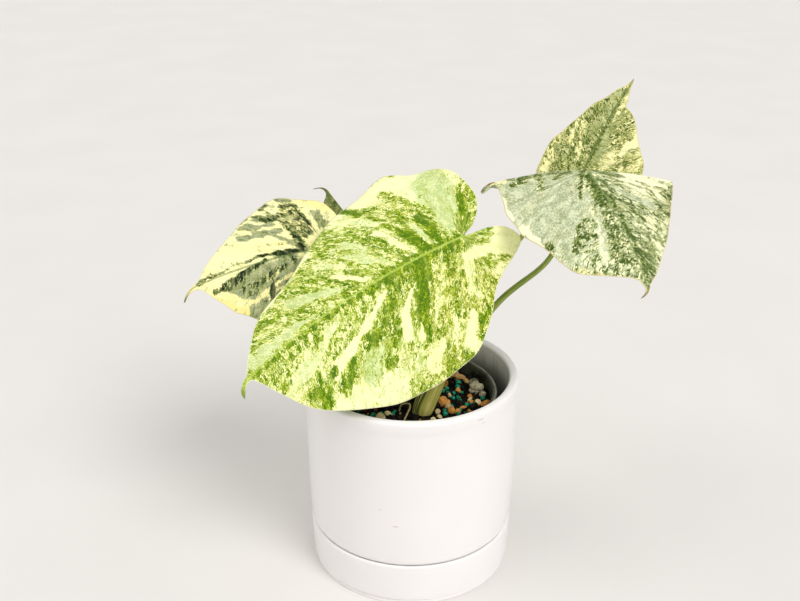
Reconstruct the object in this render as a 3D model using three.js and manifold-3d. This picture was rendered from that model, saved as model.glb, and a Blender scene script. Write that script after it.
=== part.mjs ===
// Potted variegated monstera: a white glazed pot on its saucer, a dark nursery pot inside it,
// a chunky substrate and a young plant of five heart-shaped leaves.
// Millimetres, +Z up. The origin is the middle of the saucer's underside.

import * as THREE from 'three';
import { mergeVertices } from 'three/addons/utils/BufferGeometryUtils.js';
import Module from 'manifold-3d';

const manifold = await Module();
manifold.setup();

// Driving dimensions of the holder
const GAP = 0.3;
const ROUND_SIDES = 48;
const CORNER_STEPS = 3;

const SAUCER = {
  footRadius: 56.8,
  footRound: 1.4,
  grooveRadius: 56.2,
  grooveHeight: 2.5,
  wallFootRadius: 57.6,
  wallFootHeight: 3.5,
  lipRadius: 58.5,
  lipRound: 4.4,
  lipEdge: 1.2,
  height: 26.2,
  floor: 5.4,
  innerFootRadius: 55.4,
  innerLipRadius: 56.2,
  innerCorner: 3,
};

const POT = {
  height: 117.6,
  lipRadius: 60,
  lipDepth: 9,
  lipSwell: 4,
  lipRound: 2.4,
  wallRadius: 59.45,
  innerRadius: 54.8,
  bellyHeight: 75,
  bellyRise: 18,
  seamRadius: 58,
  seamRound: 0.8,
  sunkClearance: 0.5,
  footCorner: 4,
  floor: 6,
  drainRadius: 6,
  innerCorner: 5,
};

const LINER = {
  footRadius: 36,
  footRound: 1.5,
  mouthRadius: 47,
  rimRadius: 48.4,
  rimHeight: 3.6,
  rimRound: 1,
  rimBevel: 0.4,
  wall: 1,
  top: 106.3,
  slots: 6,
  slotLength: 8,
  slotWidth: 9,
  slotHeight: 3,
  slotRise: 2.4,
  sides: 40,
};

const SUBSTRATE = {
  level: 98.5,
  swell: 1.1,
  swellLength: 8.5,
  dimple: 0.45,
  dimpleLength: 3.4,
  slack: 0.6,
  edgeDrop: 2,
  edgeRound: 0.4,
  sides: 36,
  rings: 7,
  pellets: 44,
  pelletRadius: 1.6,
  grits: 14,
  gritRadius: 2.3,
  sizeSpread: [0.85, 1.15],
  sunk: 0.3,
  margin: 1.5,
};

// Lumps that stand out at the stem's right: place on the substrate and radius
const LUMPS = [
  { x: 18, y: -6, radius: 4.2 },
  { x: 20.5, y: -9.5, radius: 2.8 },
  { x: 42, y: -4, radius: 3 },
  { x: 38, y: 9, radius: 4 },
  { x: 27, y: 17, radius: 3.6 },
  { x: 12, y: -21, radius: 2.2 },
  { x: 23, y: -15, radius: 2.2 },
  { x: -17, y: -24, radius: 3 },
];

// Where the stem and the aerial root go in, no lump lies
const KEPT_CLEAR = [
  { x: 6.5, y: -12.5, radius: 8 },
  { x: -7, y: -12, radius: 3 },
  { x: -4, y: -27, radius: 3 },
];

// Driving dimensions of the plant
const STEM = {
  path: [[5, -13, 66], [6.5, -12.5, 97], [14, -10, 115], [21, -7, 136]],
  footRadius: 6.2,
  topRadius: 4.4,
  taper: 1.4,
  sides: 14,
  steps: 9,
};

// A petiole ends just under its blade: seat is the room left there, and it rises to it over approach
const PETIOLE = {
  footRadius: 2.9,
  topRadius: 1.35,
  taper: 2.2,
  seat: 0.6,
  approach: 6,
  lean: 1,
  sides: 8,
  steps: 12,
};

// Side veins leave the rib forwards by veinLean and bow; ripples fade out where a vein is short
const BLADE = {
  thickness: 0.8,
  veinLean: 0.45,
  veinBow: 1.3,
  tipSpacing: 0.85,
  rippleReach: 20,
  columns: 4,
};
const OUTLINE_SAMPLES = 300;
const PROBE = 0.5;

// Each leaf: the rib is a Bezier curve from the petiole to the blade's tip, and drip is the end of the
// drip tip. The face directions point out of the upper surface at the two ends of the rib. Fold lifts
// each side from the rib, in degrees, and curl is its curvature away from the face, per mm. Outlines
// hold [distance along the rib, distance from it], first the side on the right of a viewer who looks
// at the upper surface with the tip ahead. Past the crest line the basal lobes bend back.
const LEAVES = [
  {
    name: 'front',
    rib: [[26.7, -8, 201.1], [-8, -16, 188], [-50, -40, 171], [-82.5, -62, 145.1]],
    drip: [-83.7, -69, 137.5],
    faces: [[0.05, -0.72, 0.69], [-0.1, -0.72, 0.69]],
    fold: [-20, -20],
    curl: [0.004, 0.003],
    crest: { lean: [0, 0], bend: 0, radius: 5 },
    ripple: { height: 1, waves: 5 },
    right: [
      [-1, 1], [-8, 5], [-14, 14], [-17, 24], [-16, 36], [-12, 50], [-4, 59], [6, 62], [14, 68],
      [21, 70], [32, 65], [42, 63], [53, 58], [72, 45], [88, 35], [110, 28], [125, 13], [132, 5], [139, 1],
    ],
    left: [
      [-2, 1], [-8, 1], [-14, 1], [-22, 4], [-27, 10], [-27, 15], [-21, 20], [-12, 26], [-5, 33],
      [1, 43], [11, 52], [22, 59], [37, 62], [52, 64], [66, 63], [81, 60], [99, 51], [115, 40],
      [123, 30], [129, 15], [132, 6], [139, 1],
    ],
    lobeRows: 16,
    ribRows: 20,
    petiole: [[17, -8.5, 122], [27, 0, 152], [31, 4, 180]],
  },
  {
    name: 'left',
    rib: [[-48, 25, 182], [-70, 15, 182], [-95.6, 4, 178], [-116, -5, 171]],
    drip: [-122.2, -10, 163.7],
    faces: [[-0.15, -0.65, 0.75], [-0.25, -0.7, 0.67]],
    fold: [-12, -12],
    curl: [0.002, 0.004],
    crest: { lean: [0, 0], bend: 0, radius: 5 },
    ripple: { height: 0.8, waves: 4 },
    right: [
      [-1, 1], [-8, 5], [-14, 13], [-16, 24], [-14, 31], [-10, 38], [-4, 42], [3, 45], [10, 47], [17, 46],
      [27, 41], [37, 35], [44, 28], [52, 21], [65, 11], [73, 3], [80, 1],
    ],
    left: [
      [-1, 1], [-8, 5], [-14, 13], [-14, 24], [-8, 33], [4, 40], [18, 43], [34, 40], [44, 35],
      [51, 30], [56, 26], [61, 22], [65, 16], [70, 9], [74, 3], [80, 1],
    ],
    lobeRows: 11,
    ribRows: 13,
    petiole: [[10, -10.5, 106], [-2, 6, 134], [-24, 22, 160]],
  },
  {
    name: 'back',
    rib: [[-34, 57, 155], [-39, 61, 169], [-44, 66, 185], [-49, 70, 198]],
    drip: [-58, 76, 199],
    faces: [[-0.1, -0.9, 0.4], [-0.3, -0.85, 0.4]],
    fold: [-10, -10],
    curl: [0.003, 0.003],
    crest: { lean: [0, 0], bend: 0, radius: 5 },
    ripple: { height: 0.4, waves: 3 },
    right: [
      [-1, 1], [-7, 4], [-10, 10], [-7, 16], [2, 19], [14, 17], [25, 12], [32, 7], [36, 5], [42, 3],
      [45, 2], [49, 1],
    ],
    left: [
      [-1, 1], [-7, 4], [-10, 10], [-7, 16], [2, 18], [14, 17], [25, 13], [34, 9], [39, 7], [44, 4],
      [46, 2], [49, 1],
    ],
    lobeRows: 7,
    ribRows: 9,
    petiole: [[9, -9, 103], [2, 16, 116], [-13, 46, 127], [-28, 66, 141]],
  },
  {
    name: 'lower_right',
    rib: [[93, 10, 231], [100.6, -9.1, 224.5], [109.1, -30.6, 210.3], [116, -48, 190]],
    drip: [112.8, -52, 184.8],
    faces: [[0.23, -0.53, 0.81], [0.4, -0.75, 0.53]],
    fold: [-12.5, -12],
    curl: [0.006, 0.0015],
    crest: { lean: [0.4, 0.02], bend: 75, radius: 4 },
    ripple: { height: 0.5, waves: 4 },
    right: [
      [-1, 1], [-8, 4], [-15, 10], [-21, 19], [-25, 30], [-27, 38], [-26, 45], [-24, 51], [-21, 51],
      [-19, 46], [-12, 46], [-2, 48], [8, 50], [20, 49], [30, 48], [44, 41], [54, 37], [62, 31],
      [67, 17], [71, 5], [76, 1],
    ],
    left: [
      [-1, 1], [-7, 5], [-11, 14], [-12, 28], [-12, 44], [-10, 54], [-5, 60], [-1, 61], [13, 54],
      [25, 46], [37, 38], [49, 30], [59, 21], [69, 11], [75, 3], [79, 1],
    ],
    lobeRows: 14,
    ribRows: 14,
    petiole: [[15, -9, 117], [49.3, 10, 155.7], [75.2, 14, 178.3], [84, 19, 196], [90, 17, 218]],
  },
  {
    name: 'upper_right',
    rib: [[95, 50, 211], [101, 54, 228.5], [114.5, 67, 248], [125.5, 74, 263]],
    drip: [127.2, 76, 264.8],
    faces: [[-0.1, -0.93, 0.38], [-0.3, -0.9, 0.5]],
    fold: [15, 15],
    curl: [0.003, 0.003],
    crest: { lean: [0, 0], bend: 0, radius: 5 },
    ripple: { height: 0.5, waves: 3 },
    right: [
      [-1, 1], [-9, 5], [-14, 14], [-13, 24], [-6, 31], [4, 34], [18, 32], [25, 30], [30, 26], [36, 21],
      [43, 16], [48, 11], [51, 5], [55, 4], [60, 2],
    ],
    left: [
      [-1, 1], [-9, 5], [-14, 13], [-11, 21], [-2, 25], [5, 25], [16, 24], [22, 21], [29, 18], [36, 15],
      [44, 12], [50, 8], [57, 5], [62, 2],
    ],
    lobeRows: 9,
    ribRows: 11,
    petiole: [[13, -9, 112], [34, 14, 148], [63.4, 41, 182], [84, 58, 196]],
  },
];

// A thin aerial root that curls over the substrate beside the stem
const ROOT = {
  path: [
    [-7, -12, 97], [-5.5, -12, 102], [-1, -14, 103.6], [-1.5, -20, 103], [-4, -26, 100.5], [-4.5, -27, 97],
  ],
  radius: 0.8,
  sides: 7,
  steps: 14,
};

// Colours, roughness and metalness
const FINISH = {
  glaze: { color: 0xf1efec, roughness: 0.28, metalness: 0 },
  liner: { color: 0x3a3f34, roughness: 0.35, metalness: 0 },
  soil: { color: 0x2a231d, roughness: 0.95, metalness: 0 },
  stem: { color: 0xb9b96b, roughness: 0.45, metalness: 0 },
  petiole: { color: 0x6e8c3c, roughness: 0.42, metalness: 0 },
  root: { color: 0xb9a878, roughness: 0.8, metalness: 0 },
  front: { color: 0xb9d35f, roughness: 0.4, metalness: 0 },
  left: { color: 0xcfcf9a, roughness: 0.42, metalness: 0 },
  back: { color: 0x8a9b68, roughness: 0.42, metalness: 0 },
  lower_right: { color: 0xb3c49b, roughness: 0.42, metalness: 0 },
  upper_right: { color: 0xa9b36a, roughness: 0.42, metalness: 0 },
};

const part = new THREE.Group();

function place(name, geometry, finish) {
  const mesh = new THREE.Mesh(geometry, new THREE.MeshStandardMaterial(FINISH[finish]));
  mesh.name = name;
  part.add(mesh);
}

// Mesh helpers

// Merges what lies in one place, drops empty triangles and turns every face outwards
function closed(geometry) {
  geometry.deleteAttribute('normal');
  geometry.deleteAttribute('uv');
  const merged = mergeVertices(geometry, 1e-4);
  const corners = merged.index.array;
  const position = merged.attributes.position;
  const kept = [];
  let volume = 0;
  const [a, b, c] = [new THREE.Vector3(), new THREE.Vector3(), new THREE.Vector3()];
  for (let i = 0; i < corners.length; i += 3) {
    const [ia, ib, ic] = [corners[i], corners[i + 1], corners[i + 2]];
    if (ia === ib || ib === ic || ic === ia) continue;
    kept.push(ia, ib, ic);
    a.fromBufferAttribute(position, ia);
    b.fromBufferAttribute(position, ib);
    c.fromBufferAttribute(position, ic);
    volume += a.dot(b.cross(c));
  }
  merged.setIndex(volume < 0 ? kept.reverse() : kept);
  return merged;
}

function toSolid(geometry) {
  const mesh = closed(geometry);
  return new manifold.Manifold(new manifold.Mesh({
    numProp: 3,
    vertProperties: new Float32Array(mesh.attributes.position.array),
    triVerts: new Uint32Array(mesh.index.array),
  }));
}

function toGeometry(solid) {
  const mesh = solid.getMesh();
  const geometry = new THREE.BufferGeometry();
  geometry.setAttribute('position', new THREE.BufferAttribute(new Float32Array(mesh.vertProperties), 3));
  geometry.setIndex(new THREE.BufferAttribute(new Uint32Array(mesh.triVerts), 1));
  return geometry;
}

function turned(profile, sides = ROUND_SIDES) {
  return new THREE.LatheGeometry(profile.getPoints(CORNER_STEPS), sides).rotateX(Math.PI / 2);
}

const vector = ([x, y, z]) => new THREE.Vector3(x, y, z);
const radians = THREE.MathUtils.degToRad;

// A closed round bar along a curve, with its own radius at every point from 0 to 1
function bar(curve, radiusAt, sides, steps) {
  const geometry = new THREE.CylinderGeometry(1, 1, 1, sides, steps);
  const frames = curve.computeFrenetFrames(steps, false);
  const position = geometry.attributes.position;
  for (let i = 0; i < position.count; i += 1) {
    const along = position.getY(i) + 0.5;
    const step = Math.round(along * steps);
    const radius = radiusAt(along);
    const point = curve.getPointAt(along);
    point.addScaledVector(frames.binormals[step], position.getX(i) * radius);
    point.addScaledVector(frames.normals[step], position.getZ(i) * radius);
    position.setXYZ(i, point.x, point.y, point.z);
  }
  return geometry;
}

// A repeatable random number from 0 to 1
function randomFrom(seed) {
  let state = seed;
  return () => {
    state = (Math.imul(state, 1664525) + 1013904223) >>> 0;
    return state / 2 ** 32;
  };
}

// Holder

function saucer() {
  const s = SAUCER;
  const profile = new THREE.Path();
  profile.moveTo(0, 0);
  profile.lineTo(s.footRadius - s.footRound, 0);
  profile.quadraticCurveTo(s.footRadius, 0, s.footRadius, s.footRound);
  profile.lineTo(s.grooveRadius, s.grooveHeight);
  profile.lineTo(s.wallFootRadius, s.wallFootHeight);
  profile.lineTo(s.lipRadius, s.height - s.lipRound);
  profile.quadraticCurveTo(s.lipRadius, s.height, s.lipRadius - s.lipEdge, s.height);
  profile.quadraticCurveTo(s.innerLipRadius, s.height, s.innerLipRadius, s.height - s.lipEdge);
  profile.lineTo(s.innerFootRadius, s.floor + s.innerCorner);
  profile.quadraticCurveTo(s.innerFootRadius, s.floor, s.innerFootRadius - s.innerCorner, s.floor);
  profile.lineTo(0, s.floor);
  return turned(profile);
}

function pot() {
  const p = POT;
  const s = SAUCER;
  const foot = s.floor + GAP;
  const shoulder = s.height + GAP;
  const lipFoot = p.height - p.lipDepth;
  const floorTop = foot + p.floor;
  const inner = p.innerRadius;
  const sunkFootRadius = s.innerFootRadius - p.sunkClearance;
  const sunkTopRadius = s.innerLipRadius - p.sunkClearance;
  const profile = new THREE.Path();
  profile.moveTo(p.drainRadius, foot);
  profile.lineTo(sunkFootRadius - p.footCorner, foot);
  profile.quadraticCurveTo(sunkFootRadius, foot, sunkFootRadius, foot + p.footCorner);
  profile.lineTo(sunkTopRadius, shoulder);
  profile.lineTo(p.seamRadius - p.seamRound, shoulder);
  profile.quadraticCurveTo(p.seamRadius, shoulder, p.seamRadius, shoulder + p.seamRound);
  profile.quadraticCurveTo(p.wallRadius, shoulder + p.bellyRise, p.wallRadius, p.bellyHeight);
  profile.lineTo(p.wallRadius, lipFoot);
  profile.quadraticCurveTo(p.lipRadius, lipFoot, p.lipRadius, lipFoot + p.lipSwell);
  profile.lineTo(p.lipRadius, p.height - p.lipRound);
  profile.quadraticCurveTo(p.lipRadius, p.height, p.lipRadius - p.lipRound, p.height);
  profile.quadraticCurveTo(inner, p.height, inner, p.height - p.lipRound);
  profile.lineTo(inner, floorTop + p.innerCorner);
  profile.quadraticCurveTo(inner, floorTop, inner - p.innerCorner, floorTop);
  profile.lineTo(p.drainRadius, floorTop);
  profile.lineTo(p.drainRadius, foot);
  return turned(profile);
}

const LINER_FOOT = SAUCER.floor + GAP + POT.floor + GAP;

// The liner's inner radius at a height above the saucer's underside
function linerRadius(height) {
  const share = (height - LINER_FOOT) / (LINER.top - LINER_FOOT);
  return THREE.MathUtils.lerp(LINER.footRadius, LINER.mouthRadius, share) - LINER.wall;
}

function nurseryPot() {
  const l = LINER;
  const skirt = l.top - l.rimHeight;
  const profile = new THREE.Path();
  profile.moveTo(0, LINER_FOOT);
  profile.lineTo(l.footRadius - l.footRound, LINER_FOOT);
  profile.quadraticCurveTo(l.footRadius, LINER_FOOT, l.footRadius, LINER_FOOT + l.footRound);
  profile.lineTo(linerRadius(skirt) + l.wall, skirt);
  profile.lineTo(l.rimRadius, skirt);
  profile.lineTo(l.rimRadius, l.top - l.rimRound);
  profile.quadraticCurveTo(l.rimRadius, l.top, l.rimRadius - l.rimRound, l.top);
  profile.lineTo(linerRadius(l.top) + l.rimBevel, l.top);
  profile.lineTo(linerRadius(l.top), l.top - l.rimBevel);
  profile.lineTo(linerRadius(LINER_FOOT), LINER_FOOT + l.wall);
  profile.lineTo(0, LINER_FOOT + l.wall);
  let shell = toSolid(turned(profile, l.sides));
  for (let i = 0; i < l.slots; i += 1) {
    const slot = new THREE.BoxGeometry(l.slotLength, l.slotWidth, l.slotHeight);
    slot.translate(l.footRadius, 0, LINER_FOOT + l.slotRise);
    slot.rotateZ((i / l.slots) * 2 * Math.PI);
    shell = shell.subtract(toSolid(slot));
  }
  return toGeometry(shell);
}

// The substrate's uneven top
function substrateHeight(x, y) {
  const s = SUBSTRATE;
  const swell = s.swell * Math.sin(x / s.swellLength + 1) * Math.cos(y / s.swellLength);
  return s.level + swell + s.dimple * Math.sin((x + y) / s.dimpleLength);
}

function lump(x, y, radius, random) {
  const stone = new THREE.IcosahedronGeometry(radius, 0);
  const stretch = () => THREE.MathUtils.lerp(...SUBSTRATE.sizeSpread, random());
  stone.scale(stretch(), stretch(), stretch());
  stone.rotateZ(random() * Math.PI);
  stone.rotateX(random() * Math.PI);
  stone.translate(x, y, substrateHeight(x, y) + radius * SUBSTRATE.sunk);
  return toSolid(stone);
}

function substrate(plantedIn) {
  const s = SUBSTRATE;
  const foot = LINER_FOOT + LINER.wall + GAP;
  const brim = linerRadius(s.level) - s.slack;
  const profile = new THREE.Path();
  profile.moveTo(0, foot);
  profile.lineTo(linerRadius(foot) - s.slack, foot);
  profile.lineTo(brim, s.level - s.edgeDrop);
  for (let ring = s.rings; ring >= 0; ring -= 1) {
    profile.lineTo((brim - s.edgeRound) * (ring / s.rings), s.level);
  }
  const body = turned(profile, s.sides);
  const position = body.attributes.position;
  for (let i = 0; i < position.count; i += 1) {
    if (position.getZ(i) > s.level - s.edgeDrop / 2) {
      position.setZ(i, substrateHeight(position.getX(i), position.getY(i)));
    }
  }
  const random = randomFrom(7);
  const stones = LUMPS.map(({ x, y, radius }) => lump(x, y, radius, random));
  for (let i = 0; i < s.pellets + s.grits; i += 1) {
    const spread = THREE.MathUtils.lerp(...s.sizeSpread, random());
    const radius = (i < s.pellets ? s.pelletRadius : s.gritRadius) * spread;
    const angle = random() * 2 * Math.PI;
    const reach = Math.sqrt(random()) * (brim - radius - s.margin);
    const [x, y] = [reach * Math.cos(angle), reach * Math.sin(angle)];
    if (KEPT_CLEAR.some((spot) => Math.hypot(x - spot.x, y - spot.y) < spot.radius + radius)) continue;
    stones.push(lump(x, y, radius, random));
  }
  let mix = toSolid(body);
  for (const stone of stones) mix = mix.add(stone);
  for (const piece of plantedIn) mix = mix.subtract(piece);
  return toGeometry(mix);
}

// Plant

function stem(extra = 0) {
  const { path, footRadius, topRadius, taper, sides, steps } = STEM;
  const curve = new THREE.CatmullRomCurve3(path.map(vector));
  const radiusAt = (along) => THREE.MathUtils.lerp(footRadius, topRadius, along ** taper) + extra;
  return bar(curve, radiusAt, sides, steps);
}

function root(extra = 0) {
  const curve = new THREE.CatmullRomCurve3(ROOT.path.map(vector));
  return bar(curve, () => ROOT.radius + extra, ROOT.sides, ROOT.steps);
}

// A leaf's rib, its length and its frame at a distance from the petiole
function ribOf(leaf) {
  const [start, handleA, handleB, tip] = leaf.rib.map(vector);
  const curve = new THREE.CubicBezierCurve3(start, handleA, handleB, tip);
  const length = curve.getLength();
  const end = vector(leaf.drip);
  const dripLength = end.distanceTo(tip);
  const bow = tip.clone().addScaledVector(curve.getTangent(1), dripLength / 2);
  const drip = new THREE.QuadraticBezierCurve3(tip, bow, end);
  const [faceA, faceB] = leaf.faces.map((face) => vector(face).normalize());
  function frameAt(s) {
    const share = THREE.MathUtils.clamp(s / length, 0, 1);
    const past = THREE.MathUtils.clamp((s - length) / dripLength, 0, 1);
    const point = past > 0 ? drip.getPoint(past) : curve.getPoint(share);
    const ahead = past > 0 ? drip.getTangent(past) : curve.getTangent(share);
    if (s < 0) point.addScaledVector(ahead, s);
    const face = faceA.clone().lerp(faceB, share).normalize();
    const across = ahead.clone().cross(face).normalize();
    const up = across.clone().cross(ahead);
    return { point, ahead, across, up };
  }
  return { length, total: length + dripLength, frameAt };
}

// A point of the blade, with w negative on the left side of the rib
function bladePoint(leaf, rib, s, w) {
  const side = w < 0 ? 1 : 0;
  const reach = Math.abs(w);
  const crestAt = -leaf.crest.lean[side] * reach;
  const beyond = leaf.crest.bend > 0 ? Math.max(0, crestAt - s) : 0;
  const frame = rib.frameAt(beyond > 0 ? crestAt : s);
  const fold = radians(leaf.fold[side]);
  const outwards = frame.across.clone().multiplyScalar(Math.sign(w) * Math.cos(fold));
  outwards.addScaledVector(frame.up, Math.sin(fold));
  const upwards = frame.up.clone().multiplyScalar(Math.cos(fold));
  upwards.addScaledVector(frame.across, -Math.sign(w) * Math.sin(fold));
  const point = frame.point.clone().addScaledVector(outwards, reach);
  point.addScaledVector(upwards, -leaf.curl[side] * reach * reach / 2);
  if (beyond > 0) {
    const bend = radians(leaf.crest.bend);
    const turn = Math.min(beyond / leaf.crest.radius, bend);
    const straight = beyond - turn * leaf.crest.radius;
    point.addScaledVector(frame.ahead, -leaf.crest.radius * Math.sin(turn) - straight * Math.cos(turn));
    point.addScaledVector(frame.up, -leaf.crest.radius * (1 - Math.cos(turn)) - straight * Math.sin(turn));
  }
  return point;
}

// Rows from the rib or the petiole out to the margin: [place on the rib, outline point, share of outline]
function veinRows(leaf, rib, outline) {
  const points = [...outline, [rib.total, 0]].map(([s, w]) => new THREE.Vector2(s, w));
  const samples = new THREE.SplineCurve(points).getPoints(OUTLINE_SAMPLES);
  const feet = [];
  let foot = 0;
  for (const point of samples) {
    foot = Math.max(foot, point.x - BLADE.veinLean * point.y);
    feet.push(foot);
  }
  const firstRib = feet.findIndex((value) => value > 0);
  const rows = [];
  for (let row = 0; row < leaf.lobeRows; row += 1) {
    const index = Math.round((row / leaf.lobeRows) * firstRib);
    rows.push({ foot: 0, end: samples[index], share: index / OUTLINE_SAMPLES });
  }
  for (let row = 0; row <= leaf.ribRows; row += 1) {
    const station = rib.total * (row / leaf.ribRows) ** BLADE.tipSpacing;
    const index = row === leaf.ribRows ? OUTLINE_SAMPLES : feet.findIndex((value) => value > station);
    rows.push({ foot: station, end: samples[index], share: index / OUTLINE_SAMPLES });
  }
  return rows;
}

function blade(leaf) {
  const rib = ribOf(leaf);
  const { columns, veinBow, rippleReach } = BLADE;
  const half = BLADE.thickness / 2;
  const vertices = [];
  const triangles = [];
  const push = (point) => vertices.push(point.x, point.y, point.z) / 3 - 1;
  const quad = (a, b, c, d, straight) => {
    triangles.push(...(straight ? [a, b, c, a, c, d] : [a, c, b, a, d, c]));
  };
  for (const sign of [1, -1]) {
    const rows = veinRows(leaf, rib, sign > 0 ? leaf.right : leaf.left);
    const faces = { upper: [], lower: [] };
    for (const row of rows) {
      const upper = [];
      const lower = [];
      for (let column = 0; column <= columns; column += 1) {
        const v = column / columns;
        const s = row.foot + (row.end.x - row.foot) * v ** veinBow;
        const w = Math.max(row.end.y * v, 0) * sign;
        const point = bladePoint(leaf, rib, s, w);
        const up = rib.frameAt(s).up;
        if (column > 0 && row.end.y > PROBE) {
          const stepS = bladePoint(leaf, rib, s + PROBE, w).sub(point);
          const stepW = bladePoint(leaf, rib, s, w + sign * PROBE).sub(point);
          up.copy(stepW.cross(stepS).multiplyScalar(sign).normalize());
        }
        const wave = Math.sin(row.share * leaf.ripple.waves * 2 * Math.PI + sign);
        point.addScaledVector(up, leaf.ripple.height * wave * v * v * Math.min(1, row.end.y / rippleReach));
        upper.push(push(point.clone().addScaledVector(up, half)));
        lower.push(push(point.clone().addScaledVector(up, -half)));
      }
      faces.upper.push(upper);
      faces.lower.push(lower);
    }
    const last = rows.length - 1;
    const front = sign > 0;
    for (let row = 0; row < last; row += 1) {
      for (let column = 0; column < columns; column += 1) {
        for (const [grid, straight] of [[faces.upper, front], [faces.lower, !front]]) {
          const [near, far] = [grid[row], grid[row + 1]];
          quad(near[column], near[column + 1], far[column + 1], far[column], straight);
        }
      }
      const [a, b] = [faces.upper[row][columns], faces.upper[row + 1][columns]];
      const [c, d] = [faces.lower[row + 1][columns], faces.lower[row][columns]];
      quad(a, d, c, b, front);
    }
    for (let column = 0; column < columns; column += 1) {
      const [a, b] = [faces.upper[0][column], faces.upper[0][column + 1]];
      const [c, d] = [faces.lower[0][column + 1], faces.lower[0][column]];
      quad(a, d, c, b, front);
    }
  }
  const geometry = new THREE.BufferGeometry();
  geometry.setAttribute('position', new THREE.BufferAttribute(new Float32Array(vertices), 3));
  geometry.setIndex(triangles);
  return closed(geometry);
}

// A petiole from inside the stem to just under the blade, before it is cut free of its neighbours
function petiole(leaf, extra = 0) {
  const { footRadius, topRadius, taper, seat, approach, lean, sides, steps } = PETIOLE;
  const { point, up, ahead } = ribOf(leaf).frameAt(0);
  const top = point.clone().addScaledVector(up, -BLADE.thickness / 2 - seat);
  const under = top.clone().addScaledVector(up, -approach).addScaledVector(ahead, -lean);
  const curve = new THREE.CatmullRomCurve3([...leaf.petiole.map(vector), under, top]);
  const radiusAt = (along) => THREE.MathUtils.lerp(topRadius, footRadius, (1 - along) ** taper) + extra;
  return bar(curve, radiusAt, sides, steps);
}

// Assembly

const stemClearance = toSolid(stem(GAP));

place('saucer', saucer(), 'glaze');
place('pot', pot(), 'glaze');
place('nursery_pot', nurseryPot(), 'liner');
place('substrate', substrate([stemClearance, toSolid(root(GAP))]), 'soil');
place('stem', stem(), 'stem');
place('aerial_root', root(), 'root');

const laid = [stemClearance];
for (const leaf of LEAVES) {
  let stalk = toSolid(petiole(leaf));
  for (const neighbour of laid) stalk = stalk.subtract(neighbour);
  laid.push(toSolid(petiole(leaf, GAP)));
  place(`petiole_${leaf.name}`, toGeometry(stalk), 'petiole');
  place(`blade_${leaf.name}`, blade(leaf), leaf.name);
}

export default part;
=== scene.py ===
"""Looks for the potted variegated monstera: glazed pot and saucer, liner, substrate, stem and five leaves.

The row frame is in metres, +Z up, with its origin under the middle of the saucer. Shapes are worked out in
millimetres and scaled when their mesh is made.
"""

import math

import bpy
import numpy as np
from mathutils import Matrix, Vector


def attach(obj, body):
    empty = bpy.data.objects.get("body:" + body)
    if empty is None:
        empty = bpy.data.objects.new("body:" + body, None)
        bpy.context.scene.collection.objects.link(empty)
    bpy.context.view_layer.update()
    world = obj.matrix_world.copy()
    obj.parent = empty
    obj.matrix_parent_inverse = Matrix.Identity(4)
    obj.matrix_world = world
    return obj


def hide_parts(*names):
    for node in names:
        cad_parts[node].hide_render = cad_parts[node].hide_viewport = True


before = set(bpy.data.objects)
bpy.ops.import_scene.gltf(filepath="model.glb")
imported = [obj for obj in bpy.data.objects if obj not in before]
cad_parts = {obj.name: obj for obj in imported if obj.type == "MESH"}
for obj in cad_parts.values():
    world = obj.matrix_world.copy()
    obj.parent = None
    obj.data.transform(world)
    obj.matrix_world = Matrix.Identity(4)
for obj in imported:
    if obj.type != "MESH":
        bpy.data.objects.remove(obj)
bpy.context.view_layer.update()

MM = 0.001
TAU = 2 * math.pi


# ---- Mesh helpers

def unit(v):
    v = np.asarray(v, float)
    return v / np.maximum(np.linalg.norm(v, axis=-1, keepdims=True), 1e-12)


def smoothstep(low, high, x):
    t = np.clip((x - low) / (high - low), 0, 1)
    return t * t * (3 - 2 * t)


# Primes that spread the three axes and the seed, and that mix the hash in two rounds
AXIS_PRIMES, SEED_PRIME = (73856093, 19349663, 83492791), 2654435761
FIRST_MIX, SECOND_MIX, HASH_TOP = 1274126177, 668265263, 0x7FFFFFFF
OCTAVE_SHIFT = 17.3


def value_noise(points, seed=0):
    """Smooth noise from 0 to 1 at an array of 3-D points, one feature per unit."""
    cell = np.floor(points).astype(np.int64)
    part = points - cell
    part = part * part * (3 - 2 * part)
    total = np.zeros(points.shape[:-1])
    for corner in np.ndindex(2, 2, 2):
        h = np.bitwise_xor.reduce((cell + corner) * AXIS_PRIMES, axis=-1) ^ (seed * SEED_PRIME)
        h = ((h ^ (h >> 13)) * FIRST_MIX) & HASH_TOP
        h = ((h ^ (h >> 15)) * SECOND_MIX) & HASH_TOP
        weight = np.prod(np.where(corner, part, 1 - part), axis=-1)
        total += weight * (h / HASH_TOP)
    return total


def fbm(points, octaves=3, seed=0):
    """Layers of that noise, each twice as fine and half as strong as the one before."""
    total, size = np.zeros(points.shape[:-1]), 0.0
    for octave in range(octaves):
        share = 0.5**octave
        total += share * value_noise(points * 2.0**octave + OCTAVE_SHIFT * octave, seed + octave)
        size += share
    return total / size


def make_piece(name, points, faces, material, slot, replaces=(), **attributes):
    """A smooth mesh piece from points in mm that rides on the root body. attributes holds, by name, a number or
    a vector for each point, which the material reads."""
    mesh = bpy.data.meshes.new(name)
    mesh.from_pydata((np.asarray(points) * MM).tolist(), [], [list(map(int, f)) for f in faces])
    mesh.validate()
    mesh.polygons.foreach_set("use_smooth", [True] * len(mesh.polygons))
    mesh.materials.append(material)
    piece = bpy.data.objects.new(name, mesh)
    bpy.context.scene.collection.objects.link(piece)
    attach(piece, "root")
    if replaces:
        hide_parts(*replaces)
    for key, values in attributes.items():
        values = np.asarray(values, np.float32)
        kind, field = ("FLOAT", "value") if values.ndim == 1 else ("FLOAT_VECTOR", "vector")
        mesh.attributes.new(key, kind, "POINT").data.foreach_set(field, values.ravel())
    return piece


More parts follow.
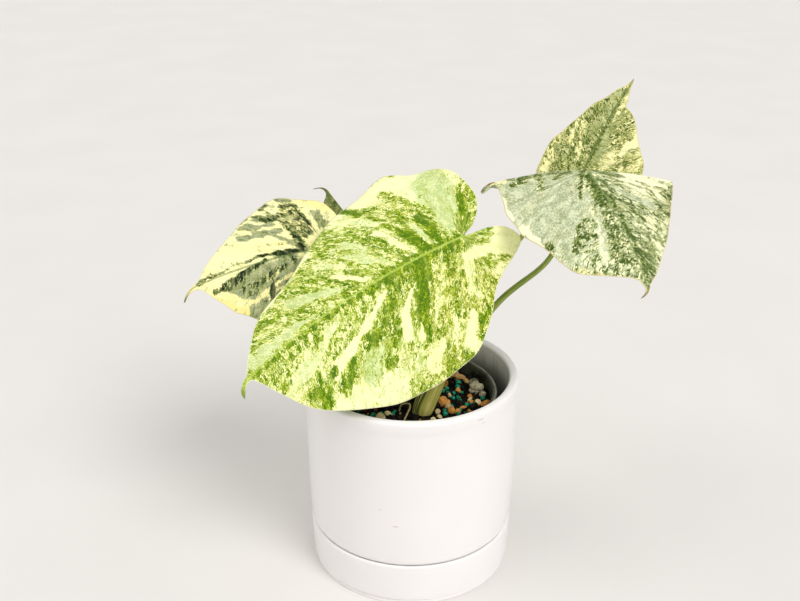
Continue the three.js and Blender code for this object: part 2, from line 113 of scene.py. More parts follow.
def grid_faces(rows, columns, offset=0, wrap=False, flip=False):
    """Quads over a grid of points laid out row by row."""
    r, c = np.meshgrid(np.arange(rows - 1), np.arange(columns if wrap else columns - 1), indexing="ij")
    a = offset + r * columns + c
    b = offset + r * columns + (c + 1) % columns
    quads = np.stack([a, b, b + columns, a + columns], -1).reshape(-1, 4)
    return quads[:, ::-1] if flip else quads


def fillet(corners, steps=6):
    """A profile of (radius, height) points with each corner (r, z, size) rounded."""
    out = []
    for i, (r, z, size) in enumerate(corners):
        here = np.array([r, z], float)
        if size == 0 or i in (0, len(corners) - 1):
            out.append(here)
            continue
        a, b = (np.array(other[:2], float) for other in (corners[i - 1], corners[i + 1]))
        a, b = (here + unit(end - here) * min(size, np.linalg.norm(end - here) * 0.49) for end in (a, b))
        out += [(1 - t) ** 2 * a + 2 * t * (1 - t) * here + t * t * b for t in np.linspace(0, 1, steps + 1)]
    return np.array(out)


def divided(profile, longest):
    """The profile with no stretch longer than that, so that a turned wall has rings to shade smoothly."""
    out = [profile[0]]
    for a, b in zip(profile[:-1], profile[1:]):
        count = max(1, int(np.ceil(np.linalg.norm(b - a) / longest)))
        out += [a + (b - a) * k / count for k in range(1, count + 1)]
    return np.array(out)


# How fast the hand-made unevenness changes around the wall, and over what height in mm
UNEVEN_AROUND, UNEVEN_UP = 1.7, 26


def turned(profile, sides, closed=False, wobble=0.0, seed=0):
    """Points and faces of a profile turned about Z, with a slight hand-made unevenness."""
    angles = np.arange(sides) * TAU / sides
    r, z = (profile[:, k][:, None] * np.ones(sides) for k in (0, 1))
    if wobble:
        around = [UNEVEN_AROUND * np.cos(angles) + 0 * z, UNEVEN_AROUND * np.sin(angles) + 0 * z]
        r = r + wobble * (2 * fbm(np.stack([*around, z / UNEVEN_UP], -1), 2, seed) - 1) * (r > 1)
    points = np.stack([r * np.cos(angles), r * np.sin(angles), z], -1).reshape(-1, 3)
    faces = grid_faces(len(profile), sides, wrap=True)
    if closed:
        last = (len(profile) - 1) * sides
        seam = [[last + k, last + (k + 1) % sides, (k + 1) % sides, k] for k in range(sides)]
        faces = np.vstack([faces, seam])
    return points, faces


SPAN_STEPS = 40


def path_points(control, count):
    """Evenly spaced points on a centripetal Catmull-Rom curve."""
    p = np.array(control, float)
    p = np.vstack([2 * p[0] - p[1], p, 2 * p[-1] - p[-2]])
    fine = []
    for a, b, c, d in zip(p[:-3], p[1:-2], p[2:-1], p[3:]):
        t0, t1, t2 = (np.linalg.norm(v) ** 0.5 for v in (b - a, c - b, d - c))
        start = ((b - a) / t0 - (c - a) / (t0 + t1) + (c - b) / t1) * t1
        end = ((c - b) / t1 - (d - b) / (t1 + t2) + (d - c) / t2) * t1
        for t in np.linspace(0, 1, SPAN_STEPS, endpoint=False):
            fine.append((2 * t**3 - 3 * t * t + 1) * b + (t**3 - 2 * t * t + t) * start
                        + (3 * t * t - 2 * t**3) * c + (t**3 - t * t) * end)
    fine = np.array(fine + [p[-2]])
    length = np.concatenate([[0], np.cumsum(np.linalg.norm(np.diff(fine, axis=0), axis=1))])
    at = np.linspace(0, length[-1], count)
    return np.stack([np.interp(at, length, fine[:, k]) for k in range(3)], -1)


def carried_frames(points, first):
    """Tangent, side and third direction along a path, carried without twist from the first side direction."""
    tangents = unit(np.gradient(points, axis=0))
    sides, side = [], np.asarray(first, float)
    for t in tangents:
        side = unit(side - t * (side @ t))
        sides.append(side)
    sides = np.array(sides)
    return tangents, sides, np.cross(tangents, sides)


def wrapped_angle(angle):
    return (angle + np.pi) % TAU - np.pi


def tube_piece(name, points, radius, first, round_sides, material, slot, replaces=(), stretch=1):
    """A capped bar along points. radius(along, angle) gives mm; angle 0 faces the first side direction. Its
    attribute lay holds the angle, and the share of its length times stretch."""
    _, sides, thirds = carried_frames(points, first)
    along = np.linspace(0, 1, len(points))[:, None]
    angle = np.arange(round_sides) * TAU / round_sides
    wrapped = wrapped_angle(angle)[None, :]
    full = np.ones((len(points), round_sides))
    r = radius(along, wrapped) * full
    ring = (points[:, None] + sides[:, None] * (r * np.cos(angle))[..., None]
            + thirds[:, None] * (r * np.sin(angle))[..., None])
    verts = np.vstack([ring.reshape(-1, 3), points[:1], points[-1:]])
    low, high = len(verts) - 2, len(verts) - 1
    last = (len(points) - 1) * round_sides
    faces = [list(f) for f in grid_faces(len(points), round_sides, wrap=True)]
    for k in range(round_sides):
        nxt = (k + 1) % round_sides
        faces += [[low, nxt, k], [high, last + k, last + nxt]]
    lay = np.stack([wrapped * full, along * full * stretch, 0 * full], -1).reshape(-1, 3)
    lay = np.vstack([lay, [[0, 0, 0]], [[0, stretch, 0]]])
    make_piece(name, verts, faces, material, slot, replaces, lay=lay)


# ---- Material helpers

def rgb(red, green, blue):
    """An sRGB colour from 0 to 255 as the linear colour that shaders use."""
    c = np.array([red, green, blue]) / 255
    linear = np.where(c <= 0.04045, c / 12.92, ((c + 0.055) / 1.055) ** 2.4)
    return (*linear.tolist(), 1.0)


class Shader:
    """A node material. Most methods add a node and return its output; colours are sRGB from 0 to 255."""

    def __init__(self, name, **settings):
        self.material = bpy.data.materials.new(name)
        self.material.use_nodes = True
        self.tree = self.material.node_tree
        self.surface = self.tree.nodes["Principled BSDF"]
        for key, value in settings.items():
            self.set(key.replace("_", " "), value)

    def feed(self, socket, value):
        if isinstance(value, bpy.types.NodeSocket):
            self.tree.links.new(value, socket)
        else:
            socket.default_value = rgb(*value) if socket.type == "RGBA" else value

    def set(self, key, value):
        self.feed(self.surface.inputs[key], value)

    def node(self, kind, *values, named=(), **settings):
        """A node with its first inputs in order, and more of them by name or number."""
        made = self.tree.nodes.new(kind)
        for key, value in settings.items():
            setattr(made, key, value)
        for key, value in [*enumerate(values), *dict(named).items()]:
            self.feed(made.inputs[key], value)
        return made

    def place(self):
        return self.node("ShaderNodeTexCoord").outputs["Object"]

    def attribute(self, name, output="Vector"):
        return self.node("ShaderNodeAttribute", attribute_name=name).outputs[output]

    def parts(self, vector):
        return self.node("ShaderNodeSeparateXYZ", vector).outputs

    def scaled(self, vector, x, y, z, shift=(0, 0, 0)):
        made = self.node("ShaderNodeVectorMath", vector, (x, y, z), shift, operation="MULTIPLY_ADD")
        return made.outputs[0]

    def length(self, vector):
        return self.node("ShaderNodeVectorMath", vector, operation="LENGTH").outputs["Value"]

    def noise(self, vector, scale=1.0, detail=2.0, roughness=0.5, output="Fac"):
        named = dict(Vector=vector, Scale=scale, Detail=detail, Roughness=roughness)
        return self.node("ShaderNodeTexNoise", named=named).outputs[output]

    def math(self, operation, *values):
        return self.node("ShaderNodeMath", *values, operation=operation).outputs[0]

    def times(self, a, b):
        return self.math("MULTIPLY", a, b)

    def times_plus(self, a, b, c):
        return self.math("MULTIPLY_ADD", a, b, c)

    def step(self, value, low, high, bottom=0.0, top=1.0):
        """Goes smoothly from bottom, where the value is low, to top, where it is high."""
        made = self.node("ShaderNodeMapRange", value, low, high, bottom, top, interpolation_type="SMOOTHSTEP")
        return made.outputs[0]

    def mix(self, factor, a, b, blend="MIX"):
        made = self.node("ShaderNodeMix", named={0: factor, 6: a, 7: b}, data_type="RGBA", blend_type=blend)
        return made.outputs[2]

    def ramp(self, factor, *stops):
        made = self.node("ShaderNodeValToRGB", factor)
        elements = made.color_ramp.elements
        while len(elements) < len(stops):
            elements.new(0.5)
        for element, (position, colour) in zip(elements, stops):
            element.position = position
            element.color = rgb(*colour)
        return made.outputs[0]

    def bump(self, height, distance, strength):
        """Relief of that distance in metres, on top of any relief before it."""
        made = self.node("ShaderNodeBump", named=dict(Strength=strength, Distance=distance, Height=height))
        before = self.surface.inputs["Normal"]
        if before.is_linked:
            self.feed(made.inputs["Normal"], before.links[0].from_socket)
        self.set("Normal", made.outputs[0])


# ---- Camera, lights and stage

scene = bpy.context.scene
scene.view_settings.view_transform = "Standard"
scene.view_settings.look = "None"

# The photograph's camera, worked out from the ellipses of the pot
CAMERA_PLACE, LOOK_DOWN, LENS, SENSOR, NEAREST = (-0.0064, -0.5487, 0.4061), 24.12, 49.5, 36, 0.01
camera_data = bpy.data.cameras.new("camera")
camera_data.sensor_width = SENSOR
camera_data.lens = LENS
camera_data.clip_start = NEAREST
camera = bpy.data.objects.new("camera", camera_data)
camera.location = CAMERA_PLACE
camera.rotation_euler = (math.radians(90 - LOOK_DOWN), 0, 0)
scene.collection.objects.link(camera)
scene.camera = camera


def add_light(name, kind, way, axis, power, colour, place=(0, 0, 0), **settings):
    """A light turned so that its axis lies along way."""
    data = bpy.data.lights.new(name, kind)
    data.energy, data.color = power, colour
    for key, value in settings.items():
        setattr(data, key, value)
    light = bpy.data.objects.new(name, data)
    light.location = place
    light.rotation_euler = Vector(way).to_track_quat(axis, "Y").to_euler()
    scene.collection.objects.link(light)


COOL_WHITE, WARM_WHITE = (1.0, 0.99, 1.0), (1.0, 1.0, 0.985)
add_light("key", "SUN", (0.55, -0.75, 1.0), "Z", 1.5, COOL_WHITE, angle=math.radians(30))
add_light("overhead", "SUN", (-0.7, -0.1, 1.0), "Z", 0.8, WARM_WHITE, angle=math.radians(50))
add_light("window", "AREA", (-0.75, 0.9, -0.65), "-Z", 1.6, COOL_WHITE, (0.75, -0.9, 0.75), shape="RECTANGLE",
          size=0.35, size_y=0.8)

WORLD_STRENGTH = 0.54
world = bpy.data.worlds.new("studio")
scene.world = world
world.use_nodes = True
sky = world.node_tree.nodes["Background"].inputs
sky[0].default_value, sky[1].default_value = (1, 1, 1, 1), WORLD_STRENGTH

# The floor is flat near the plant and rises far away, so that low views end on it
FLOOR_MIDDLE, FLOOR_FLAT, FLOOR_REACH, FLOOR_RISE = 1500, 3000, 15000, 700
FLOOR_RINGS, FLOOR_SIDES = 40, 96
floor_shader = Shader("pale_floor", Roughness=0.75)
cloud = floor_shader.noise(floor_shader.place(), 9.0, 3.0)
floor_shader.set("Base Color", floor_shader.ramp(cloud, (0.3, (226, 223, 218)), (0.7, (229, 226, 221))))
reach = np.concatenate([[0.001, FLOOR_MIDDLE], np.linspace(FLOOR_FLAT, FLOOR_REACH, FLOOR_RINGS)])
height = FLOOR_RISE * (np.maximum(reach - FLOOR_FLAT, 0) / (FLOOR_REACH - FLOOR_FLAT)) ** 2
points, faces = turned(np.stack([reach, height], -1), FLOOR_SIDES)
floor_mesh = bpy.data.meshes.new("floor")
floor_mesh.from_pydata((points * MM).tolist(), [], faces.tolist())
floor_mesh.polygons.foreach_set("use_smooth", [True] * len(floor_mesh.polygons))
floor_mesh.materials.append(floor_shader.material)
floor = bpy.data.objects.new("floor", floor_mesh)
scene.collection.objects.link(floor)


# ---- Pot and saucer

# Faint rubbed marks: where, how far they reach each way in mm, and how strong
MARKS = [
    ((-8.6, -58.8, 53.3), (2.2, 2, 0.5), 0.45), ((-17.1, -56.9, 63), (0.9, 1.5, 0.7), 0.25),
    ((35.6, -47.6, 113.6), (2.6, 3, 0.7), 0.35), ((37.6, -46.2, 110.9), (1, 2, 0.5), 0.3),
]


def glaze():
    """White satin glaze, a little uneven, with faint warm specks and painted shade down inside the pot."""
    s = Shader("glaze", IOR=1.5, Coat_Weight=0.35, Coat_Roughness=0.12)
    place = s.place()
    colour = s.ramp(s.noise(place, 14.0, 2.0), (0.3, (239, 235, 233)), (0.7, (242, 239, 238)))
    colour = s.mix(s.step(s.noise(place, 800.0, 1.0), 0.8, 0.86, 0, 0.2), colour, (214, 200, 178))
    ragged = s.times(s.noise(place, 1500.0, 3.0), 0.9)
    for mark, reach, strength in MARKS:
        spot = s.scaled(place, *(1 / (r * MM) for r in reach), tuple(-c / r for c, r in zip(mark, reach)))
        away = s.math("ADD", s.length(spot), ragged)
        colour = s.mix(s.step(away, 1.5, 1.0, 0, strength), colour, (176, 162, 132))
    # Painted shade inside the pot, darker towards the bottom, which fades out towards the rim
    inside = s.step(s.length(s.scaled(place, 1, 1, 0)), 0.0562, 0.0554)
    depth = s.times_plus(s.noise(s.scaled(place, 240, 240, 14), 1.0, 3.0), 0.012, s.parts(place)[2])
    painted_inner_shade = s.times(s.step(depth, 0.121, 0.108, 0, 0.75), inside)
    s.set("Base Color", s.mix(painted_inner_shade, colour, (128, 126, 120)))
    s.set("Roughness", s.step(s.noise(place, 60.0, 3.0), 0.3, 0.7, 0.3, 0.36))
    s.bump(s.noise(place, 40.0, 1.0), 0.0002, 0.25)
    return s.material


glaze_material = glaze()
ROUND = 160
WALL_STEP = 3.5

saucer_profile = divided(fillet([
    (0, 0.4, 0), (53.5, 0.4, 0.3), (54.2, 0, 0.3), (56.8, 0, 0.7), (56.7, 1.6, 0.5), (56.2, 2.5, 0.35),
    (57.5, 3.3, 0.5), (58.0, 12, 4), (58.5, 21.8, 3.2), (58.35, 26.2, 1.35), (56.2, 26.2, 0.9), (56.2, 22, 2),
    (55.4, 5.4, 3), (0, 5.4, 0),
]), WALL_STEP)
points, faces = turned(saucer_profile, ROUND, wobble=0.05, seed=3)
make_piece("saucer_glazed", points, faces, glaze_material, "glaze", ["saucer"])

pot_profile = divided(fillet([
    (6, 6.7, 0), (6.6, 5.7, 0.4), (54.9, 5.7, 4), (55.7, 26.5, 0.25), (56.9, 26.5, 0.5), (58.1, 28.4, 1),
    (58.5, 34, 3), (59.2, 50, 9), (59.45, 75, 9), (59.45, 108.6, 3.5), (60, 112, 2.5), (60, 117.6, 2.3),
    (54.8, 117.6, 2.3), (54.8, 11.7, 5), (6.6, 11.7, 0.5), (6, 11, 0.3), (6, 6.7, 0),
]), WALL_STEP)[:-1]
points, faces = turned(pot_profile, ROUND, closed=True, wobble=0.07, seed=5)
make_piece("pot_glazed", points, faces, glaze_material, "glaze", ["pot"])


# ---- Liner

def liner_shader():
    """Dusty dark plastic, with a painted highlight mottled by dust on its outer top edge."""
    s = Shader("liner_plastic", Roughness=0.3, IOR=1.46)
    place = s.place()
    dust = s.noise(place, 120.0, 3.0)
    wall = s.ramp(dust, (0.35, (34, 38, 31)), (0.75, (74, 78, 62)))
    # rim is the pale colour of the outer top edge: a painted highlight where it catches light, mottled by dust
    rim = s.ramp(dust, (0.3, (120, 124, 104)), (0.7, (172, 174, 150)))
    outer = s.step(s.length(s.scaled(place, 1, 1, 0)), 0.0470, 0.0476)
    lip_highlight = s.times(s.step(s.parts(place)[2], 0.1045, 0.1056), outer)
    s.set("Base Color", s.mix(lip_highlight, wall, rim))
    s.set("Roughness", s.step(dust, 0.3, 0.7, 0.22, 0.5))
    return s.material


LINER_SIDES, LINER_STEP = 144, 5
LINER_RIBS, RIB_HEIGHT, RIBS_FROM, RIBS_TO = 24, 0.12, 18, 102
liner_profile = divided(fillet([
    (0, 12, 0), (36, 12, 1.5), (46.58, 102.7, 0), (48.4, 102.7, 0.5), (48.4, 106.3, 1), (46.2, 106.3, 0.4),
    (46, 105.9, 0), (35, 13, 1), (0, 13, 0),
]), LINER_STEP)
points, faces = turned(liner_profile, LINER_SIDES)
angle = np.arctan2(points[:, 1], points[:, 0])
wall = (points[:, 2] > RIBS_FROM) & (points[:, 2] < RIBS_TO)
rib = RIB_HEIGHT * np.cos(LINER_RIBS * angle) ** 8 * wall
points[:, :2] *= (1 + rib / np.maximum(np.hypot(points[:, 0], points[:, 1]), 1))[:, None]
make_piece("liner", points, faces, liner_shader(), "liner_plastic", ["nursery_pot"])


# ---- Substrate

LEVEL, SWELL, SWELL_LENGTH, DIMPLE, DIMPLE_LENGTH = 98.5, 1.1, 8.5, 0.45, 3.4
BRIM = 44.4


def soil_height(x, y):
    swell = SWELL * np.sin(x / SWELL_LENGTH + 1) * np.cos(y / SWELL_LENGTH)
    return LEVEL + swell + DIMPLE * np.sin((x + y) / DIMPLE_LENGTH)


def soil_shader():
    """Near-black humus with browner patches."""
    s = Shader("humus", Roughness=0.95, Specular_IOR_Level=0.1)
    place = s.place()
    grain = s.noise(place, 380.0, 5.0, 0.65)
    colour = s.ramp(grain, (0.35, (5, 4, 4)), (0.6, (20, 16, 12)), (0.78, (52, 38, 25)))
    s.set("Base Color", s.mix(s.step(s.noise(place, 90.0, 3.0), 0.55, 0.75, 0, 0.6), colour, (40, 31, 24)))
    s.set("Roughness", s.step(grain, 0.3, 0.7, 0.75, 1.0))
    s.bump(grain, 0.0012, 0.8)
    return s.material


# The bed's top in rings from its middle out, then its side and its foot as radius and height
RINGS, AROUND, CLOD, SUNK_BED = 70, 200, 2.6, 0.7
BED_SIDE = [(BRIM, LEVEL - 3), (34.6, 13.4), (0.01, 13.4)]
share = np.linspace(0, 1, RINGS)[:, None]
turn = np.arange(AROUND)[None, :] * TAU / AROUND
x, y = BRIM * share * np.cos(turn), BRIM * share * np.sin(turn)
probe = np.stack([x / CLOD, y / CLOD, 0 * x], -1)
rough = 1.9 * (fbm(probe, 4, 11) - 0.5) + 0.9 * np.abs(fbm(probe * 2.3, 3, 12) - 0.5)
z = soil_height(x, y) + rough * smoothstep(1.0, 0.9, share) - SUNK_BED
rows = [np.stack([x, y, z], -1)]
rows += [np.stack([r * np.cos(turn), r * np.sin(turn), 0 * turn + height], -1) for r, height in BED_SIDE]
points = np.concatenate(rows).reshape(-1, 3)
middle = [[AROUND + k, AROUND + (k + 1) % AROUND, 0] for k in range(AROUND)]
top = grid_faces(RINGS, AROUND, wrap=True)[AROUND:]
side = grid_faces(1 + len(BED_SIDE), AROUND, (RINGS - 1) * AROUND, wrap=True, flip=True)
make_piece("substrate_bed", points, [*middle, *top, *side], soil_shader(), "substrate", ["substrate"])


def sphere_mesh(level):
    """A unit sphere of triangles, finer at each level."""
    g = (1 + 5**0.5) / 2
    verts = [unit(v) for v in ((-1, g, 0), (1, g, 0), (-1, -g, 0), (1, -g, 0), (0, -1, g), (0, 1, g),
                               (0, -1, -g), (0, 1, -g), (g, 0, -1), (g, 0, 1), (-g, 0, -1), (-g, 0, 1))]
    faces = [(0, 11, 5), (0, 5, 1), (0, 1, 7), (0, 7, 10), (0, 10, 11), (1, 5, 9), (5, 11, 4), (11, 10, 2),
             (10, 7, 6), (7, 1, 8), (3, 9, 4), (3, 4, 2), (3, 2, 6), (3, 6, 8), (3, 8, 9), (4, 9, 5),
             (2, 4, 11), (6, 2, 10), (8, 6, 7), (9, 8, 1)]
    for _ in range(level):
        middle, finer = {}, []

        def between(a, b):
            key = (min(a, b), max(a, b))
            if key not in middle:
                middle[key] = len(verts)
                verts.append(unit(verts[a] + verts[b]))
            return middle[key]

        for a, b, c in faces:
            ab, bc, ca = between(a, b), between(b, c), between(c, a)
            finer += [(a, ab, ca), (b, bc, ab), (c, ca, bc), (ab, bc, ca)]
        faces = finer
    return np.array(verts), np.array(faces)


SPHERES = [sphere_mesh(level) for level in range(5)]


def turn_matrix(rng):
    w, x, y, z = unit(rng.normal(size=4))
    return np.array([[1 - 2 * (y * y + z * z), 2 * (x * y - z * w), 2 * (x * z + y * w)],
                     [2 * (x * y + z * w), 1 - 2 * (x * x + z * z), 2 * (y * z - x * w)],
                     [2 * (x * z - y * w), 2 * (y * z + x * w), 1 - 2 * (x * x + y * y)]])


def grains(name, spots, material, level, jag, seed, sunk=0.3):
    """Joined grains that lie in the bed. A spot is x, y, radius and, if it isn't round, its three stretches
    and its heading in degrees. jag is how uneven the grains are."""
    rng = np.random.default_rng(seed)
    sphere, triangles = SPHERES[level]
    verts, tints = [], []
    for number, (x, y, radius, *shape) in enumerate(spots):
        stretch = np.array(shape[:3] if shape else rng.uniform(0.85, 1.15, 3))
        rough = fbm(sphere * 1.1 + 9.7 * number + seed, 3, seed) - 0.5
        grain = sphere * (1 + 2 * jag * rough)[:, None] * radius * stretch
        if len(shape) > 3:
            c, s = math.cos(math.radians(shape[3])), math.sin(math.radians(shape[3]))
            grain = grain @ np.array([[c, s, 0], [-s, c, 0], [0, 0, 1]])
        elif not shape:
            grain = grain @ turn_matrix(rng).T
        verts.append(grain + [x, y, soil_height(x, y) + radius * stretch[2] * sunk])
        tints.append(np.full(len(sphere), rng.random()))
    faces = [triangles + len(sphere) * number for number in range(len(spots))]
    make_piece(name, np.vstack(verts), np.vstack(faces), material, "substrate", tint=np.concatenate(tints))


def grain_shader(name, dark, pale, fleck, roughness=0.9, scale=420.0, relief=0.0006):
    s = Shader(name, Roughness=roughness, Specular_IOR_Level=0.2)
    place = s.place()
    n = s.noise(place, scale, 4.0, 0.65)
    shade = s.times_plus(s.attribute("tint", "Fac"), 0.45, s.times(n, 0.75))
    colour = s.ramp(shade, (0.3, dark), (0.75, pale))
    s.set("Base Color", s.mix(s.step(s.noise(place, scale * 1.9, 2.0), 0.58, 0.68, 0, 0.75), colour, fleck))
    s.bump(n, relief, 0.9)
    return s.material


# Stones, clay, bark and pellets, the most of them at the stem's right and left as the photograph shows: x, y
# and radius, then perhaps three stretches and a heading in degrees
CLAY = [(17.6, -4.6, 4.1), (22, -13, 2.1), (25.6, -14.4, 1.7), (27.2, 10.6, 1.8), (33.4, 6, 1.4),
        (34, -1, 1.4), (42, -4, 2.7, 1.2, 0.8, 0.6, 35), (28.9, -8, 1.4, 1.6, 0.7, 0.7, 20), (32.2, -12.2, 1),
        (34, -9, 0.9), (31.4, -4.4, 0.9), (-24, -8, 2.2), (-6, 24, 2.5), (-33, 16, 2), (6, 36, 2.2)]
STONES = [(20.6, -9.8, 2.7), (-13, -16.6, 1.8, 1.3, 0.8, 0.9, -40), (-11.6, -19.8, 1.3), (22, 4.6, 1.2),
          (37.8, -2.6, 1.9), (14.6, -14.4, 1.9), (15.4, -19.6, 1.6), (33.6, 2.4, 1.5, 1.5, 0.7, 0.7, 50),
          (-17, -24, 2.8), (12, -22.4, 1.5), (-30, 4, 1.8), (-20, 30, 2.2), (22, 34, 1.7), (0, 12, 1.6)]
PUMICE = [(38, 11, 4.1, 1, 1.1, 0.9, 30), (36.8, 17, 2.9), (41, 5.2, 1.9), (-14, 18, 3), (10, 27, 2.6)]
BARK = [(27.5, 24, 4.4, 1.3, 0.55, 0.5, -28), (22.8, 26.8, 2.4, 1.3, 0.7, 0.6, 10),
        (32.5, 19.5, 2.2, 1.4, 0.6, 0.6, -60), (-26, 22, 3.6, 1.4, 0.6, 0.5, 70), (-36, -8, 3, 1.3, 0.6, 0.5, 15),
        (4, -34, 2.6, 1.5, 0.6, 0.5, -15), (-3, 33, 3.2, 1.4, 0.5, 0.5, 40), (24, -30, 2.4, 1.5, 0.6, 0.5, 60)]
PELLETS = [(27.6, 18, 1.9), (20.8, 13.6, 1.5), (18.4, 9.5, 1.6), (24.6, 8, 1.4), (23.8, 2.2, 1.4),
           (26.6, 3.6, 1.5), (27.7, -1.2, 1.6), (29.5, 9.8, 1.1), (31.2, -4.8, 1.3), (24.7, -9.2, 1.3),
           (27.2, -10.6, 1.2), (18.4, -13, 1.3), (15.8, 5.6, 1.4), (30, -15.2, 1.2), (-30.2, -17.4, 1.3),
           (-26.6, -18.9, 1.4), (-21.2, -20.2, 1.9), (-16.9, -18, 1.7), (-10.4, -16.2, 1.3), (-9.4, -13.4, 1.2)]
# Places around the stem and the root that stay free
KEPT_CLEAR = [(6.5, -12.5, 8), (-7, -12, 3), (-4, -27, 3)]
# The radius of the solid's bed, and the edge that its grains keep free
SOLID_BRIM, FREE_EDGE = 44.526, 1.5
PELLET_SIZE, GRIT_SIZE = 1.6, 2.3


def loose_spots():
    """The small pellets and grits that the solid carries, from the same repeatable numbers."""
    state = 7
    lumps, pellets, grit_count, draws_each = 8, 44, 14, 5

    def draw():
        nonlocal state
        state = (state * 1664525 + 1013904223) & 0xFFFFFFFF
        return state / 2**32

    for _ in range(lumps * draws_each):
        draw()
    found = []
    for i in range(pellets + grit_count):
        radius = (PELLET_SIZE if i < pellets else GRIT_SIZE) * (0.85 + 0.3 * draw())
        angle = draw() * TAU
        reach = math.sqrt(draw()) * (SOLID_BRIM - radius - FREE_EDGE)
        x, y = reach * math.cos(angle), reach * math.sin(angle)
        if any(math.hypot(x - a, y - b) < r + radius for a, b, r in KEPT_CLEAR):
            continue
        for _ in range(draws_each):
            draw()
        found.append((x, y, radius, i < pellets))
    return found


shown = CLAY + STONES + PUMICE + BARK + PELLETS
loose = [(x, y, r, pellet) for x, y, r, pellet in loose_spots()
         if all(math.hypot(x - t[0], y - t[1]) > 0.8 * (r + t[2]) for t in shown)]
grits = [(x, y, r) for x, y, r, pellet in loose if not pellet]
beads = [(x, y, 0.88 * r) for x, y, r in PELLETS + [spot[:3] for spot in loose if spot[3]]]
taken = shown + loose
rng = np.random.default_rng(41)


def scattered(count, low, high, gap, clear):
    """Free places in the bed for grains between two radii, away from the grains in clear by gap times the sum
    of both radii."""
    found = []
    for _ in range(count * 6):
        if len(found) == count:
            break
        radius = low + (high - low) * rng.random() ** 1.6
        angle, reach = rng.random() * TAU, math.sqrt(rng.random()) * (BRIM - radius - 0.6)
        x, y = reach * math.cos(angle), reach * math.sin(angle)
        if any(math.hypot(x - a, y - b) < r * 0.66 + radius for a, b, r in KEPT_CLEAR):
            continue
        if any(math.hypot(x - t[0], y - t[1]) < gap * (t[2] + radius) for t in clear):
            continue
        found.append((x, y, radius))
    return found


crumb = grain_shader("crumb", (4, 4, 3), (30, 24, 17), (66, 48, 30), 0.95)
clay = grain_shader("fired_clay", (112, 64, 18), (210, 146, 68), (232, 184, 116))
stone = grain_shader("cream_stone", (160, 130, 80), (238, 220, 168), (196, 160, 104), 0.8)
pumice = grain_shader("pumice", (84, 78, 62), (184, 176, 146), (54, 50, 40), 0.95, 520.0, 0.001)
bark = grain_shader("bark", (90, 62, 34), (190, 150, 92), (60, 40, 24))
coated = grain_shader("coated_pellet", (0, 66, 54), (14, 150, 116), (50, 176, 140), 0.5, 700.0, 0.0001)

grains("bed_crumbs", scattered(500, 0.5, 1.5, 0.3, shown), crumb, 2, 0.5, 51, 0.35)
grains("bed_crumbs_large", scattered(120, 1.2, 2.4, 0.9, taken), crumb, 2, 0.55, 52, 0.2)
grains("bed_clay", CLAY + grits[::2], clay, 3, 0.45, 53, 0.22)
grains("bed_stones", STONES + grits[1::2] + scattered(16, 0.5, 1.0, 0.9, taken), stone, 3, 0.2, 54)
grains("bed_pumice", PUMICE, pumice, 4, 0.5, 55)
grains("bed_bark", BARK, bark, 3, 0.4, 56)
grains("bed_pellets", beads, coated, 3, 0.24, 57, 0.12)
grains("bed_clay_grit", scattered(60, 0.35, 0.9, 0.8, taken), clay, 2, 0.3, 58)


# ---- Leaf shapes

